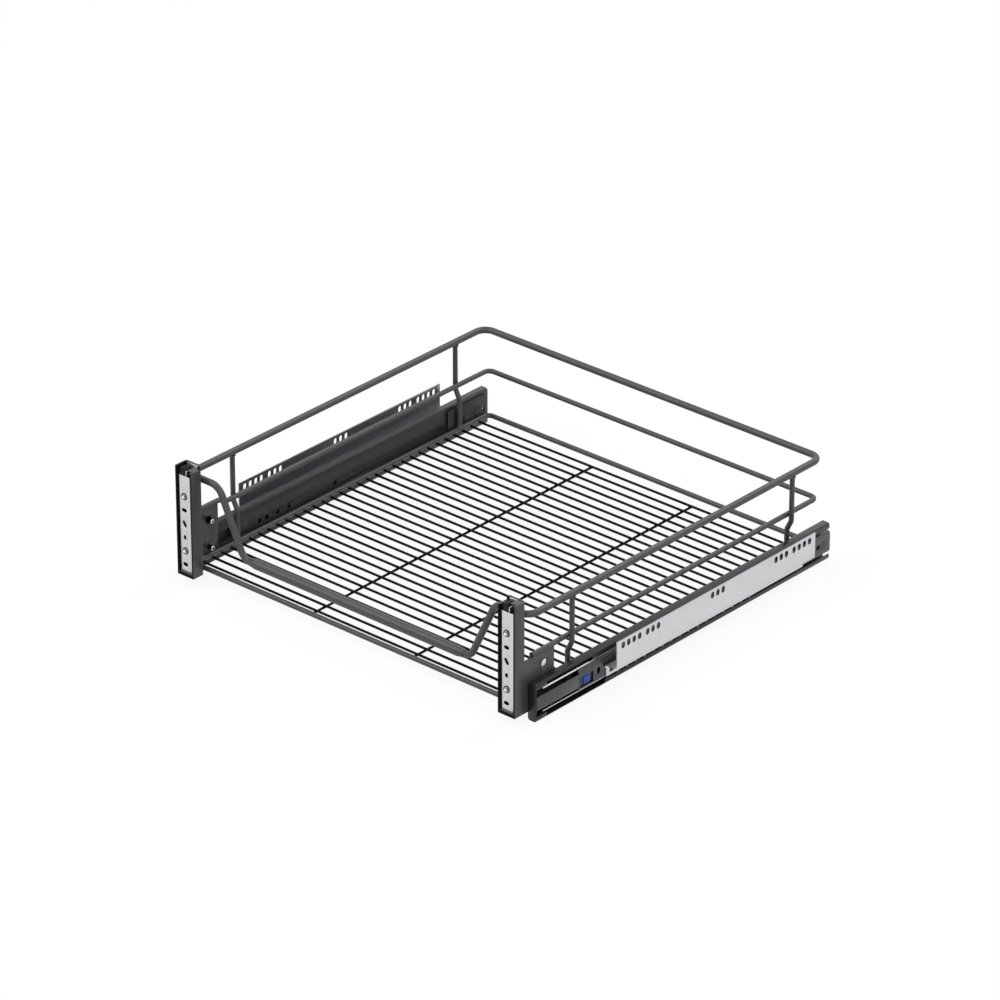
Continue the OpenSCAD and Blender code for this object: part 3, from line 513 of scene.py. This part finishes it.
@dataclass
class Studio:
    """Plain pale floor, soft lights and the camera."""

    azimuth: float = 41.469
    elevation: float = 27.444
    distance: float = 6.80883
    lens_mm: float = 219.641
    sensor_mm: float = 36.0
    target: tuple[float, float, float] = (-0.001311, 0.00068, 0.085176)
    floor_size: float = 60.0
    floor_drop: float = 0.0006
    floor_share: float = 0.14
    floor_light: float = 0.8
    daylight: float = 0.48
    sight: float = 100.0
    lamps: tuple[Lamp, ...] = (
        Lamp((-2.2, -2.6, 3.4), 2.6, 58.0),
        Lamp((3.2, -1.2, 2.2), 2.0, 24.0),
        Lamp((0.5, 2.8, 3.2), 2.6, 38.0),
    )

    def build(self) -> None:
        """Makes the floor, the surround, the lamps and the camera."""
        self.lay_floor()
        self.light_surround()
        for number, lamp in enumerate(self.lamps):
            self.hang_lamp(number, lamp)
        self.set_camera()

    @staticmethod
    def seen_directly(tree: bpy.types.NodeTree) -> bpy.types.NodeSocket:
        """Tells the rays that see a surface from those that only light by it.

        Args:
            tree: The node tree that gets the test.

        Returns:
            A socket that is 1 for a camera, glossy or transmission ray, and otherwise 0.
        """
        ray = add_node(tree, "ShaderNodeLightPath").outputs
        some = add_node(
            tree, "ShaderNodeMath", {"operation": "MAXIMUM"}, in0=ray["Is Camera Ray"], in1=ray["Is Glossy Ray"]
        )
        any_ray = add_node(
            tree, "ShaderNodeMath", {"operation": "MAXIMUM"}, in0=some.outputs[0], in1=ray["Is Transmission Ray"]
        )
        return any_ray.outputs[0]

    def lay_floor(self) -> None:
        """Lays a white floor that takes part of its light from the lamps, so that it keeps shadows."""
        clear_selection()
        bpy.ops.mesh.primitive_plane_add(size=self.floor_size, location=(0, 0, -self.floor_drop))
        floor = bpy.context.object
        floor.name = "floor"
        material = bpy.data.materials.new("pale matt floor")
        material.use_nodes = True
        tree = material.node_tree
        tree.nodes.clear()
        lit = add_node(
            tree, "ShaderNodeBsdfDiffuse", Color=(self.floor_share, self.floor_share, self.floor_share, 1)
        )
        seen = self.seen_directly(tree)
        unlit = 1 - self.floor_share * self.floor_light
        strength = add_node(tree, "ShaderNodeMath", {"operation": "MULTIPLY"}, in0=seen, in1=unlit)
        glow = add_node(tree, "ShaderNodeEmission", Color=(1, 1, 1, 1), Strength=strength.outputs[0])
        both = add_node(tree, "ShaderNodeAddShader", in0=lit.outputs[0], in1=glow.outputs[0])
        add_node(tree, "ShaderNodeOutputMaterial", Surface=both.outputs[0])
        floor.data.materials.append(material)
        apply_place(floor)

    def light_surround(self) -> None:
        """Surrounds the scene with soft white that shows as white."""
        world = bpy.data.worlds.new("studio")
        bpy.context.scene.world = world
        world.use_nodes = True
        tree = world.node_tree
        tree.nodes.clear()
        level = add_node(
            tree, "ShaderNodeMapRange", Value=self.seen_directly(tree), To_Min=self.daylight, To_Max=1.0
        )
        surround = add_node(tree, "ShaderNodeBackground", Color=(1, 1, 1, 1), Strength=level.outputs["Result"])
        add_node(tree, "ShaderNodeOutputWorld", Surface=surround.outputs[0])

    def hang_lamp(self, number: int, lamp: Lamp) -> None:
        """Hangs one lamp, turned to the drawer.

        Args:
            number: The lamp's number, for its name.
            lamp: The lamp.
        """
        light = bpy.data.lights.new(f"soft lamp {number}", "AREA")
        light.size = lamp.size
        light.energy = lamp.watts
        place = Vector(lamp.place)
        holder = bpy.data.objects.new(light.name, light)
        holder.location = place
        holder.rotation_euler = (Vector(self.target) - place).to_track_quat("-Z", "Y").to_euler()
        bpy.context.scene.collection.objects.link(holder)

    def set_camera(self) -> None:
        """Sets the camera at the photograph's angle, with a long lens."""
        turn, rise = math.radians(self.azimuth), math.radians(self.elevation)
        away = Vector(
            (math.sin(turn) * math.cos(rise), -math.cos(turn) * math.cos(rise), math.sin(rise))
        )
        eye = bpy.data.cameras.new("camera")
        eye.lens = self.lens_mm
        eye.sensor_width = self.sensor_mm
        eye.clip_end = self.sight
        holder = bpy.data.objects.new("camera", eye)
        holder.location = Vector(self.target) + away * self.distance
        holder.rotation_euler = (-away).to_track_quat("-Z", "Y").to_euler()
        bpy.context.scene.collection.objects.link(holder)
        bpy.context.scene.camera = holder
        bpy.context.scene.view_settings.view_transform = "Standard"


@dataclass
class SheetWork:
    """Sheet parts whose cut edges are broken, so that they catch the light as real ones do.

    Sizes are in millimetres.
    """

    wardrobe: Wardrobe
    break_mm: float = 0.35
    steps: int = 2
    sharp_degrees: float = 40.0
    flat_degrees: float = 0.5
    merge_mm: float = 0.002
    fine_break_mm: float = 0.25
    upright_break_mm: float = 0.5
    # How deep into an upright the painted shade reaches, and how far from its middle its walls stand
    upright_shade_depth: float = 20.0
    upright_wall_from: float = 4.0
    strip_break_mm: float = 0.2
    # The strip's slotted leg: its reach inwards, where its slots start, and its plain margins
    strip_leg: float = 2.2
    strip_slots_from: float = 28.0
    strip_slots_below: float = 1.5
    strip_ends: float = 1.0
    slot_wall_share: float = 0.4
    tongue_half: float = 9.0
    # The adjuster bracket's sheet, and how far its leaf stays below the upright's top
    bracket_t: float = 1.2
    bracket_below: float = 0.6

    def copied(self, node: str) -> bpy.types.Object:
        """Copies a node, merges its vertices and makes its flat faces whole.

        Args:
            node: The node's name.

        Returns:
            The copy.
        """
        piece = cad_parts[node].copy()
        piece.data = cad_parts[node].data.copy()
        piece.name = f"{node}_finished"
        piece.data.name = piece.name
        bpy.context.scene.collection.objects.link(piece)
        with editing(piece, "VERT"):
            bpy.ops.mesh.select_all(action="SELECT")
            bpy.ops.mesh.remove_doubles(threshold=self.merge_mm * MM)
            bpy.ops.mesh.dissolve_limited(angle_limit=math.radians(self.flat_degrees))
        return piece

    def broken(self, node: str, break_mm: float | None = None) -> bpy.types.Object:
        """Copies a node and rounds off its sharp edges.

        Args:
            node: The node's name.
            break_mm: The width of the rounding, if not the usual one.

        Returns:
            The finished copy.
        """
        return self.rounded(self.copied(node), break_mm)

    def rounded(self, piece: bpy.types.Object, break_mm: float | None = None) -> bpy.types.Object:
        """Rounds off the sharp edges of a piece.

        Args:
            piece: The piece.
            break_mm: The width of the rounding, if not the usual one.

        Returns:
            The same piece.
        """
        apply_modifier(
            piece, "BEVEL", width=(break_mm or self.break_mm) * MM, segments=self.steps, limit_method="ANGLE",
            angle_limit=math.radians(self.sharp_degrees), use_clamp_overlap=True, harden_normals=False,
        )
        smooth(piece)
        return piece

    def build(
        self, body: str, slot: Slot, nodes: list[str], break_mm: float | None = None,
        material: bpy.types.Material | None = None,
    ) -> None:
        """Makes the finished copies of some nodes.

        Args:
            body: The body that they move with.
            slot: Their finish.
            nodes: The nodes' names.
            break_mm: The width of the rounding, if not the usual one.
            material: Another material of the same slot, if not the slot's own.
        """
        for node in nodes:
            piece = self.broken(node, break_mm)
            self.wardrobe.dress(piece, slot, material)
            self.wardrobe.hand_over(piece, body, slot, node)

    def inside_wall(self, face: bpy.types.MeshPolygon, middle: float) -> bool:
        """Tells whether a face is on the inner side of an upright's side wall.

        Args:
            face: The face.
            middle: The X of the upright's middle.

        Returns:
            Whether it is.
        """
        inward = (middle - face.center.x) * math.copysign(1.0, face.normal.x)
        return abs(face.normal.x) > MOSTLY and inward > self.upright_wall_from * MM

    def uprights(self) -> None:
        """Makes the uprights, with painted shade, near black, inside them, on their cut front edges and on faces
        turned down near their fronts.
        """
        for side in Side:
            node = f"upright_{side.word}"
            low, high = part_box(f"front_plate_{side.word}")
            middle = (low.x + high.x) / 2
            piece = self.broken(node, self.upright_break_mm)
            self.wardrobe.dress(piece, Slot.COAT)
            # Painted shade, near black: the inner walls, front edges and faces turned down, near the upright's open
            # front
            self.wardrobe.paint(
                piece, self.wardrobe.wire,
                lambda face: face.center.y < self.upright_shade_depth * MM + low.y and (
                    face.normal.y < -MOSTLY or face.normal.z < -MOSTLY or self.inside_wall(face, middle)
                ),
            )
            self.wardrobe.hand_over(piece, "basket", Slot.COAT, node)

    def brackets(self) -> None:
        """Makes the adjusters' brackets, whose back leaves run up to the top of the upright."""
        for side in Side:
            node = f"adjuster_bracket_{side.word}"
            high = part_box(node)[1]
            leaf_y = high.y - self.bracket_t * MM
            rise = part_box(f"upright_{side.word}")[1].z - self.bracket_below * MM - high.z
            piece = self.copied(node)
            with editing(piece):
                bpy.ops.mesh.select_all(action="SELECT")
                bpy.ops.mesh.bisect(plane_co=(0, leaf_y, 0), plane_no=(0, 1, 0))
                pick_faces(
                    piece, lambda face: face.normal.z > SQUARELY and face.calc_center_median().y > leaf_y
                    and face.calc_center_median().z > high.z - HAIR * MM
                )
                bpy.ops.mesh.extrude_region_move(TRANSFORM_OT_translate={"value": (0, 0, rise)})
            self.rounded(piece, self.fine_break_mm)
            self.wardrobe.dress(piece, Slot.ZINC)
            self.wardrobe.hand_over(piece, "basket", Slot.ZINC, node)

    def channels(self) -> None:
        """Makes the slides' big channels, whose front tongues are a lighter grey."""
        for side in Side:
            node = f"slide_channel_{side.word}"
            low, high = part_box(node)
            outer = max(abs(low.x), abs(high.x))
            middle_z = (low.z + high.z) / 2
            piece = self.broken(node, self.fine_break_mm)
            self.wardrobe.dress(piece, Slot.SLIDE)
            # A lighter grey on the outer faces of the front tongue
            self.wardrobe.paint(
                piece, self.wardrobe.lighter_grey,
                lambda face: abs(face.center.x) > outer - HAIR * MM
                and face.normal.x * side.value > SQUARELY
                and abs(face.center.z - middle_z) < self.tongue_half * MM,
            )
            self.wardrobe.hand_over(piece, "basket", Slot.SLIDE, node)

    def strips(self) -> None:
        """Makes the mounting strips, duller on their edges, with painted shade on their inner side and painted
        near-black shade in their slots.
        """
        for side in Side:
            node = f"mounting_strip_{side.word}"
            low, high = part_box(node)
            leg_x = max(abs(low.x), abs(high.x)) - self.strip_leg * MM
            slots_z = low.z + self.strip_slots_from * MM
            piece = self.broken(node, self.strip_break_mm)
            self.wardrobe.dress(piece, Slot.ZINC)
            # Duller zinc on the punched edges, and painted shade on the side turned inwards
            self.wardrobe.paint(
                piece, self.wardrobe.dull_and_shade,
                lambda face: abs(face.center.x) > leg_x and face.center.z > slots_z
                and face.normal.x * side.value < MOSTLY,
            )
            # Painted shade, near black, on the walls of the slots
            self.wardrobe.paint(
                piece, self.wardrobe.near_black_and_shade,
                lambda face: abs(face.center.x) > leg_x and abs(face.normal.x) < self.slot_wall_share
                and slots_z < face.center.z < high.z - self.strip_slots_below * MM
                and low.y + self.strip_ends * MM < face.center.y < high.y - self.strip_ends * MM,
            )
            self.wardrobe.hand_over(piece, "cabinet_side", Slot.ZINC, node)


@dataclass
class Fasteners:
    """Threaded inserts, rivets and studs, all turned, with sizes in millimetres."""

    wardrobe: Wardrobe
    flange_r: float = 4.2
    flange_t: float = 0.6
    flange_chamfer: float = 0.2
    barrel_r: float = 3.45
    rim_r: float = 3.0
    thread_outer_r: float = 2.75
    thread_inner_r: float = 2.45
    thread_pitch: float = 1.0
    thread_turns: int = 4
    insert_segments: int = 32
    insert_smooth_degrees: float = 25.0
    # The step between two places of a profile that would else fall together
    lip: float = 0.01
    # How far inside the rim a face may reach and still be painted black with it, as the shade round the insert
    rim_slack: float = 0.05
    stud_r: float = 2.75
    stud_chamfer: float = 0.5
    stud_bore_r: float = 1.3
    stud_bore_foot: float = 0.6
    stud_segments: int = 24
    stud_head_r: float = 5.0
    stud_head_t: float = 0.8
    stud_head_edge: tuple[float, float] = (0.3, 0.25)
    # The wing and the slide's web that a stud holds together
    stud_grip: float = 3.2
    # The share of a stud's chamfer behind which it is painted near black as shade
    shade_from: float = 0.9
    rivet_r: float = 2.0
    channel_head_r: float = 4.0
    channel_head_t: float = 1.4
    strip_head_r: float = 3.25
    dome_steps: int = 6
    dome_degrees: float = 80.0
    dome_rim: float = 0.25
    head_inset: float = 0.05
    rivet_segments: int = 28

    def insert_profile(self, barrel: float) -> list[tuple[float, float]]:
        """Draws a threaded insert from its back end to the bottom of its thread.

        Args:
            barrel: Length of the barrel behind the plate's face.

        Returns:
            The profile's steps, with 0 at the plate's front face.
        """
        chamfer = self.flange_chamfer
        top = self.flange_t - chamfer
        profile = [
            (self.barrel_r, -barrel), (self.barrel_r, 0.0), (self.flange_r, self.lip),
            (self.flange_r, top), (self.flange_r - chamfer, self.flange_t),
            (self.rim_r, self.flange_t), (self.rim_r - chamfer / 2, self.flange_t + chamfer / 2),
            (self.thread_outer_r, top),
        ]
        for turn in range(self.thread_turns):
            foot = top - turn * self.thread_pitch
            profile.append((self.thread_inner_r, foot - self.thread_pitch / 2))
            profile.append((self.thread_outer_r, foot - self.thread_pitch))
        return profile

    def inserts(self, side: Side) -> None:
        """Makes the two threaded inserts of one side.

        Args:
            side: The side.
        """
        node = f"front_inserts_{side.word}"
        low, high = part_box(node)
        face_y = low.y + self.flange_t * MM
        x = (low.x + high.x) / 2
        model = turned(node, self.insert_profile((high.y - face_y) / MM), self.insert_segments)
        places = [
            facing(Vector((x, face_y, z)), Vector((0, -1, 0)))
            for z in (low.z + self.flange_r * MM, high.z - self.flange_r * MM)
        ]
        smooth(model, self.insert_smooth_degrees)
        self.wardrobe.dress(model, Slot.NICKEL)
        # Painted shade: a black ring round each insert's flange, where it meets the plate
        rim = (self.rim_r - self.rim_slack) * MM
        self.wardrobe.paint(
            model, self.wardrobe.by_slot[Slot.BLACK],
            lambda face: face.center.z > -self.lip * MM
            and min(Vector(model.data.vertices[v].co[:2]).length for v in face.vertices) > rim,
        )
        piece = copies(f"{node}_threaded", model, places)
        self.wardrobe.hand_over(piece, "basket", Slot.NICKEL, node)

    def domed(self, name: str, head_r: float, head_t: float, shank_r: float, shank: float) -> bpy.types.Object:
        """Turns a rivet with a domed head.

        Args:
            name: Its name.
            head_r: Radius of the head.
            head_t: Height of the head.
            shank_r: Radius of the shank.
            shank: Length of the shank, below 0.

        Returns:
            The rivet, its head above 0.
        """
        dome = []
        for step in range(self.dome_steps + 1):
            inward = math.radians(self.dome_degrees * step / self.dome_steps)
            upward = math.radians(90 * step / self.dome_steps)
            dome.append(
                (head_r * math.cos(inward), head_t * (self.dome_rim + (1 - self.dome_rim) * math.sin(upward)))
            )
        foot = [(shank_r, -shank), (shank_r, 0.0), (head_r - self.head_inset, self.lip)]
        return turned(name, foot + dome, self.rivet_segments)

    def channel_rivets(self, side: Side) -> None:
        """Makes the rivets that hold one slide's rear end to its bracket.

        Args:
            side: The side.
        """
        node = f"channel_rivets_{side.word}"
        low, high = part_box(node)
        inner_x = low.x if side is Side.RIGHT else high.x
        z = (low.z + high.z) / 2
        head = self.channel_head_r * MM
        shank = (high.x - low.x) / MM - self.channel_head_t
        model = self.domed(node, self.channel_head_r, self.channel_head_t, self.rivet_r, shank)
        smooth(model)
        # Painted shade: the rivets take the darker coat of the plates at the back
        self.wardrobe.dress(model, Slot.COAT, self.wardrobe.rear)
        base_x = inner_x + side.value * self.channel_head_t * MM
        places = [
            facing(Vector((base_x, y, z)), Vector((-side.value, 0, 0))) for y in (low.y + head, high.y - head)
        ]
        piece = copies(f"{node}_domed", model, places)
        self.wardrobe.hand_over(piece, "basket", Slot.COAT, node)

    def strip_rivets(self, side: Side) -> None:
        """Makes the three rivets that hold one mounting strip to its slide.

        Args:
            side: The side.
        """
        node = f"strip_rivets_{side.word}"
        low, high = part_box(node)
        outer_x = high.x if side is Side.RIGHT else low.x
        z = (low.z + high.z) / 2
        head = self.strip_head_r * MM
        shank = (high.x - low.x) / MM - self.channel_head_t
        model = self.domed(node, self.strip_head_r, self.channel_head_t, self.rivet_r, shank)
        smooth(model)
        self.wardrobe.dress(model, Slot.NICKEL)
        base_x = outer_x - side.value * self.channel_head_t * MM
        depths = [low.y + head, (low.y + high.y) / 2, high.y - head]
        places = [facing(Vector((base_x, y, z)), Vector((side.value, 0, 0))) for y in depths]
        piece = copies(f"{node}_domed", model, places)
        self.wardrobe.hand_over(piece, "cabinet_side", Slot.NICKEL, node)

    def studs(self, side: Side) -> None:
        """Makes the wing's two studs, bright nickel at their ends and on their heads' outer faces, and painted near
        black as shade elsewhere.

        Args:
            side: The side.
        """
        node = f"wing_studs_{side.word}"
        low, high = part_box(node)
        inner_x = low.x if side is Side.RIGHT else high.x
        outer_x = high.x if side is Side.RIGHT else low.x
        y = (low.y + high.y) / 2
        reach = abs(outer_x - inner_x) / MM
        chamfer = self.stud_chamfer
        shank = [
            (self.stud_r, -reach), (self.stud_r, -chamfer), (self.stud_r - chamfer, 0.0),
            (self.stud_bore_r, 0.0), (self.stud_bore_r * self.stud_bore_foot, -self.stud_bore_r),
        ]
        lower = turned(f"{node}_lower", shank, self.stud_segments)
        head_from = self.stud_grip - self.stud_head_t - reach
        head_to = self.stud_grip - reach
        edge_in, edge_up = self.stud_head_edge
        head = [
            (self.stud_head_r - edge_in, head_from), (self.stud_head_r, head_from + edge_up),
            (self.stud_head_r, head_to), (self.stud_r, head_to),
        ]
        upper = turned(f"{node}_upper", head + shank[1:], self.rivet_segments)
        made = []
        for model, z in ((lower, low.z + self.stud_r * MM), (upper, high.z - self.stud_head_r * MM)):
            smooth(model)
            self.wardrobe.dress(model, Slot.NICKEL)
            # Painted shade, near black, on all but the bright end and the head's outer face
            self.wardrobe.paint(
                model, self.wardrobe.wire,
                lambda face: face.center.z < -chamfer * self.shade_from * MM and face.normal.z > -0.5,
            )
            place = facing(Vector((inner_x, y, z)), Vector((-side.value, 0, 0)))
            made.append(copies(f"{model.name}_turned", model, [place]))
        for piece in made:
            self.wardrobe.hand_over(piece, "basket", Slot.NICKEL, node)

    def build(self) -> None:
        """Makes the fasteners of both sides."""
        for side in Side:
            self.inserts(side)
            self.channel_rivets(side)
            self.strip_rivets(side)
            self.studs(side)


@dataclass
class Welds:
    """Resistance welds where wires cross, and fillets where posts and rails meet, in millimetres."""

    wardrobe: Wardrobe
    bead_long: float = 3.6
    bead_wide: float = 2.1
    bead_high: float = 1.3
    bead_rounds: tuple[int, int] = (8, 5)
    bead_waist: tuple[float, float, float] = (1.0, 0.8, 0.85)
    bead_smooth_degrees: float = 80.0
    row_gap: float = 2.5
    rail_wire: float = 8.0
    fillet: tuple[tuple[float, float], ...] = (
        (3.9, -0.9), (4.1, 0.0), (3.9, 0.5), (3.5, 1.1), (3.15, 2.0), (3.02, 3.0), (2.9, 3.0),
    )
    fillet_segments: int = 20
    fillet_smooth_degrees: float = 60.0

    def bead(self, name: str) -> bpy.types.Object:
        """Models one squeezed-out weld bead, pinched in the middle.

        Args:
            name: Its name.

        Returns:
            The bead, along X at the origin.
        """
        clear_selection()
        segments, rings = self.bead_rounds
        bpy.ops.mesh.primitive_uv_sphere_add(segments=segments, ring_count=rings, radius=0.5)
        piece = bpy.context.object
        piece.name = name
        piece.scale = (self.bead_long * MM, self.bead_wide * MM, self.bead_high * MM)
        apply_place(piece)
        with editing(piece, "VERT"):
            shape = bmesh.from_edit_mesh(piece.data)
            for vert in shape.verts:
                vert.select_set(abs(vert.co.x) < HAIR * MM)
            bmesh.update_edit_mesh(piece.data)
            bpy.ops.transform.resize(value=self.bead_waist, center_override=(0, 0, 0))
        smooth(piece, self.bead_smooth_degrees)
        self.wardrobe.dress(piece, Slot.COAT, self.wardrobe.wire)
        return piece

    def floor_rows(self) -> list[float]:
        """Finds the depth of each of the floor's wires from the node's mesh.

        Returns:
            The depths, from the front to the back.
        """
        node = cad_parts["floor_wires"]
        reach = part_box("floor_wires")[1].x - HAIR * MM
        found = sorted({round(v.co.y / MM) for v in node.data.vertices if v.co.x > reach})
        rows: list[list[float]] = []
        for y in found:
            if rows and y - rows[-1][-1] <= self.row_gap:
                rows[-1].append(y)
            else:
                rows.append([y])
        return [(row[0] + row[-1]) / 2 * MM for row in rows]

    def floor(self) -> None:
        """Puts a bead at each crossing of the floor's wires."""
        low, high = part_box("floor_wires")
        rows = self.floor_rows()
        along_ring = Matrix.Rotation(math.pi / 2, 4, "Z")
        ring_places = [
            Matrix.Translation((side.value * high.x, y, high.z)) @ along_ring for y in rows for side in Side
        ]
        piece = copies("floor_ring_welds", self.bead("ring_bead"), ring_places)
        self.wardrobe.hand_over(piece, "basket", Slot.COAT)
        support_low, support_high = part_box("support_wire_right")
        support_x = (support_low.x + support_high.x) / 2
        places = [Matrix.Translation((side.value * support_x, y, low.z)) for y in rows for side in Side]
        piece = copies("support_wire_welds", self.bead("support_bead"), places)
        self.wardrobe.hand_over(piece, "basket", Slot.COAT)

    def fillets(self) -> None:
        """Puts a fillet round both ends of each post."""
        places_top, places_low = [], []
        rail_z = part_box("top_rail")[1].z - self.rail_wire * MM
        for name in ("post_front", "post_rear"):
            for side in Side:
                low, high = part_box(f"{name}_{side.word}")
                y = (low.y + high.y) / 2
                r = (high.y - low.y) / 2
                inner, outer = (low.x + r, high.x - r) if side is Side.RIGHT else (high.x - r, low.x + r)
                places_top.append(facing(Vector((outer, y, rail_z)), Vector((0, 0, -1))))
                places_low.append(facing(Vector((inner, y, low.z)), Vector((0, 0, 1))))
        for name, places in (("post_top_welds", places_top), ("post_foot_welds", places_low)):
            model = turned(name, list(self.fillet), self.fillet_segments)
            smooth(model, self.fillet_smooth_degrees)
            self.wardrobe.dress(model, Slot.COAT)
            piece = copies(name, model, places)
            self.wardrobe.hand_over(piece, "basket", Slot.COAT)

    def build(self) -> None:
        """Makes every weld."""
        self.floor()
        self.fillets()


@dataclass
class ReleaseLever:
    """One moulded lever: a thin plate with a ribbed finger tab, in millimetres."""

    wardrobe: Wardrobe
    side: Side
    tab_long: float = 9.0
    tab_high: float = 8.2
    tab_from_front: float = 4.8
    ribs: int = 3
    rib_t: float = 0.5
    rib_wide: float = 1.1
    rib_short: float = 1.6
    rib_rise: float = 0.5
    rib_top: tuple[float, float, float] = (1.0, 0.5, 0.92)
    rib_break_mm: float = 0.12
    plate_break_mm: float = 0.4
    tab_rise: float = 0.9

    def grip(self, node: str) -> bpy.types.Object:
        """Models the upright ribs on the lever's tab, each drawn in towards its top.

        Args:
            node: The lever's node.

        Returns:
            The ribs, in one piece.
        """
        low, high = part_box(node)
        face_x = high.x if self.side is Side.RIGHT else low.x
        middle_y = low.y + (self.tab_from_front + self.tab_long / 2) * MM
        middle_z = (low.z + high.z) / 2
        clear_selection()
        bpy.ops.mesh.primitive_cube_add(size=1)
        model = bpy.context.object
        model.name = f"{node}_rib"
        model.scale = (self.rib_t * MM, self.rib_wide * MM, (self.tab_high - self.rib_short) * MM)
        apply_place(model)
        with editing(model):
            pick_faces(model, lambda face: face.normal.x * self.side.value > SQUARELY)
            bpy.ops.mesh.extrude_region_move(
                TRANSFORM_OT_translate={"value": (self.side.value * self.rib_t * self.rib_rise * MM, 0, 0)}
            )
            bpy.ops.transform.resize(value=self.rib_top, center_override=(0, 0, 0))
        apply_modifier(model, "BEVEL", width=self.rib_break_mm * MM, segments=2, limit_method="ANGLE")
        smooth(model)
        self.wardrobe.dress(model, Slot.BLUE)
        step = self.tab_long / (self.ribs + 1) * MM
        first = middle_y - step * (self.ribs - 1) / 2
        places = [Matrix.Translation((face_x, first + step * rib, middle_z)) for rib in range(self.ribs)]
        return copies(f"{node}_grip", model, places)

    def build(self) -> None:
        """Models the lever over its node."""
        node = f"release_lever_{self.side.word}"
        low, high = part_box(node)
        face_x = max(abs(low.x), abs(high.x))
        piece = SheetWork(self.wardrobe).broken(node, self.plate_break_mm)
        self.wardrobe.dress(piece, Slot.BLUE)
        # Painted shade: all of the lever but the tab's outer face is the darker blue
        self.wardrobe.paint(
            piece, self.wardrobe.shaded_blue, lambda face: abs(face.center.x) < face_x - self.tab_rise * MM
        )
        self.wardrobe.hand_over(piece, f"lever_{self.side.word}", Slot.BLUE, node)
        self.wardrobe.hand_over(self.grip(node), f"lever_{self.side.word}", Slot.BLUE)


SIDES = [side.word for side in Side]


def both(*names: str) -> list[str]:
    """Lists the left and right nodes of some sub-parts.

    Args:
        *names: The sub-parts' names without their side.

    Returns:
        The nodes' names.
    """
    return [f"{name}_{side}" for name in names for side in SIDES]


def main() -> None:
    """Builds the studio, dresses the drawer and adds the pieces that Blender shapes."""
    logging.basicConfig(level=logging.INFO, format="%(name)s: %(message)s")
    wardrobe = Wardrobe()
    Studio().build()
    wardrobe.dress_nodes(
        Slot.COAT, ["top_rail", "front_tube", "mid_rail", "floor_ring", *both("post_front", "post_rear")]
    )
    wardrobe.dress_nodes(Slot.COAT, ["floor_wires", *both("support_wire")], wardrobe.wire)
    wardrobe.dress_nodes(Slot.SLIDE, both("lever_pin"))
    wardrobe.dress_nodes(Slot.NICKEL, both("outer_balls", "inner_cage", "inner_balls"))
    wardrobe.dress_nodes(Slot.SLIDE, both("slide_middle", "outer_cage"), wardrobe.near_black_and_shade)
    sheets = SheetWork(wardrobe)
    sheets.uprights()
    sheets.strips()
    # The rear brackets take the darker coat, painted as shade
    sheets.build("basket", Slot.COAT, both("rear_bracket"), material=wardrobe.rear)
    sheets.brackets()
    sheets.build("basket", Slot.ZINC, both("front_plate"), 0.25)
    sheets.channels()
    sheets.build("basket", Slot.BLACK, both("adjuster_block"), 0.9)
    sheets.build("cabinet_side", Slot.SLIDE, both("slide_cabinet"), 0.25, wardrobe.lighter_grey)
    Fasteners(wardrobe).build()
    Welds(wardrobe).build()
    for side in Side:
        ReleaseLever(wardrobe, side).build()


if __name__ == "__main__":
    main()
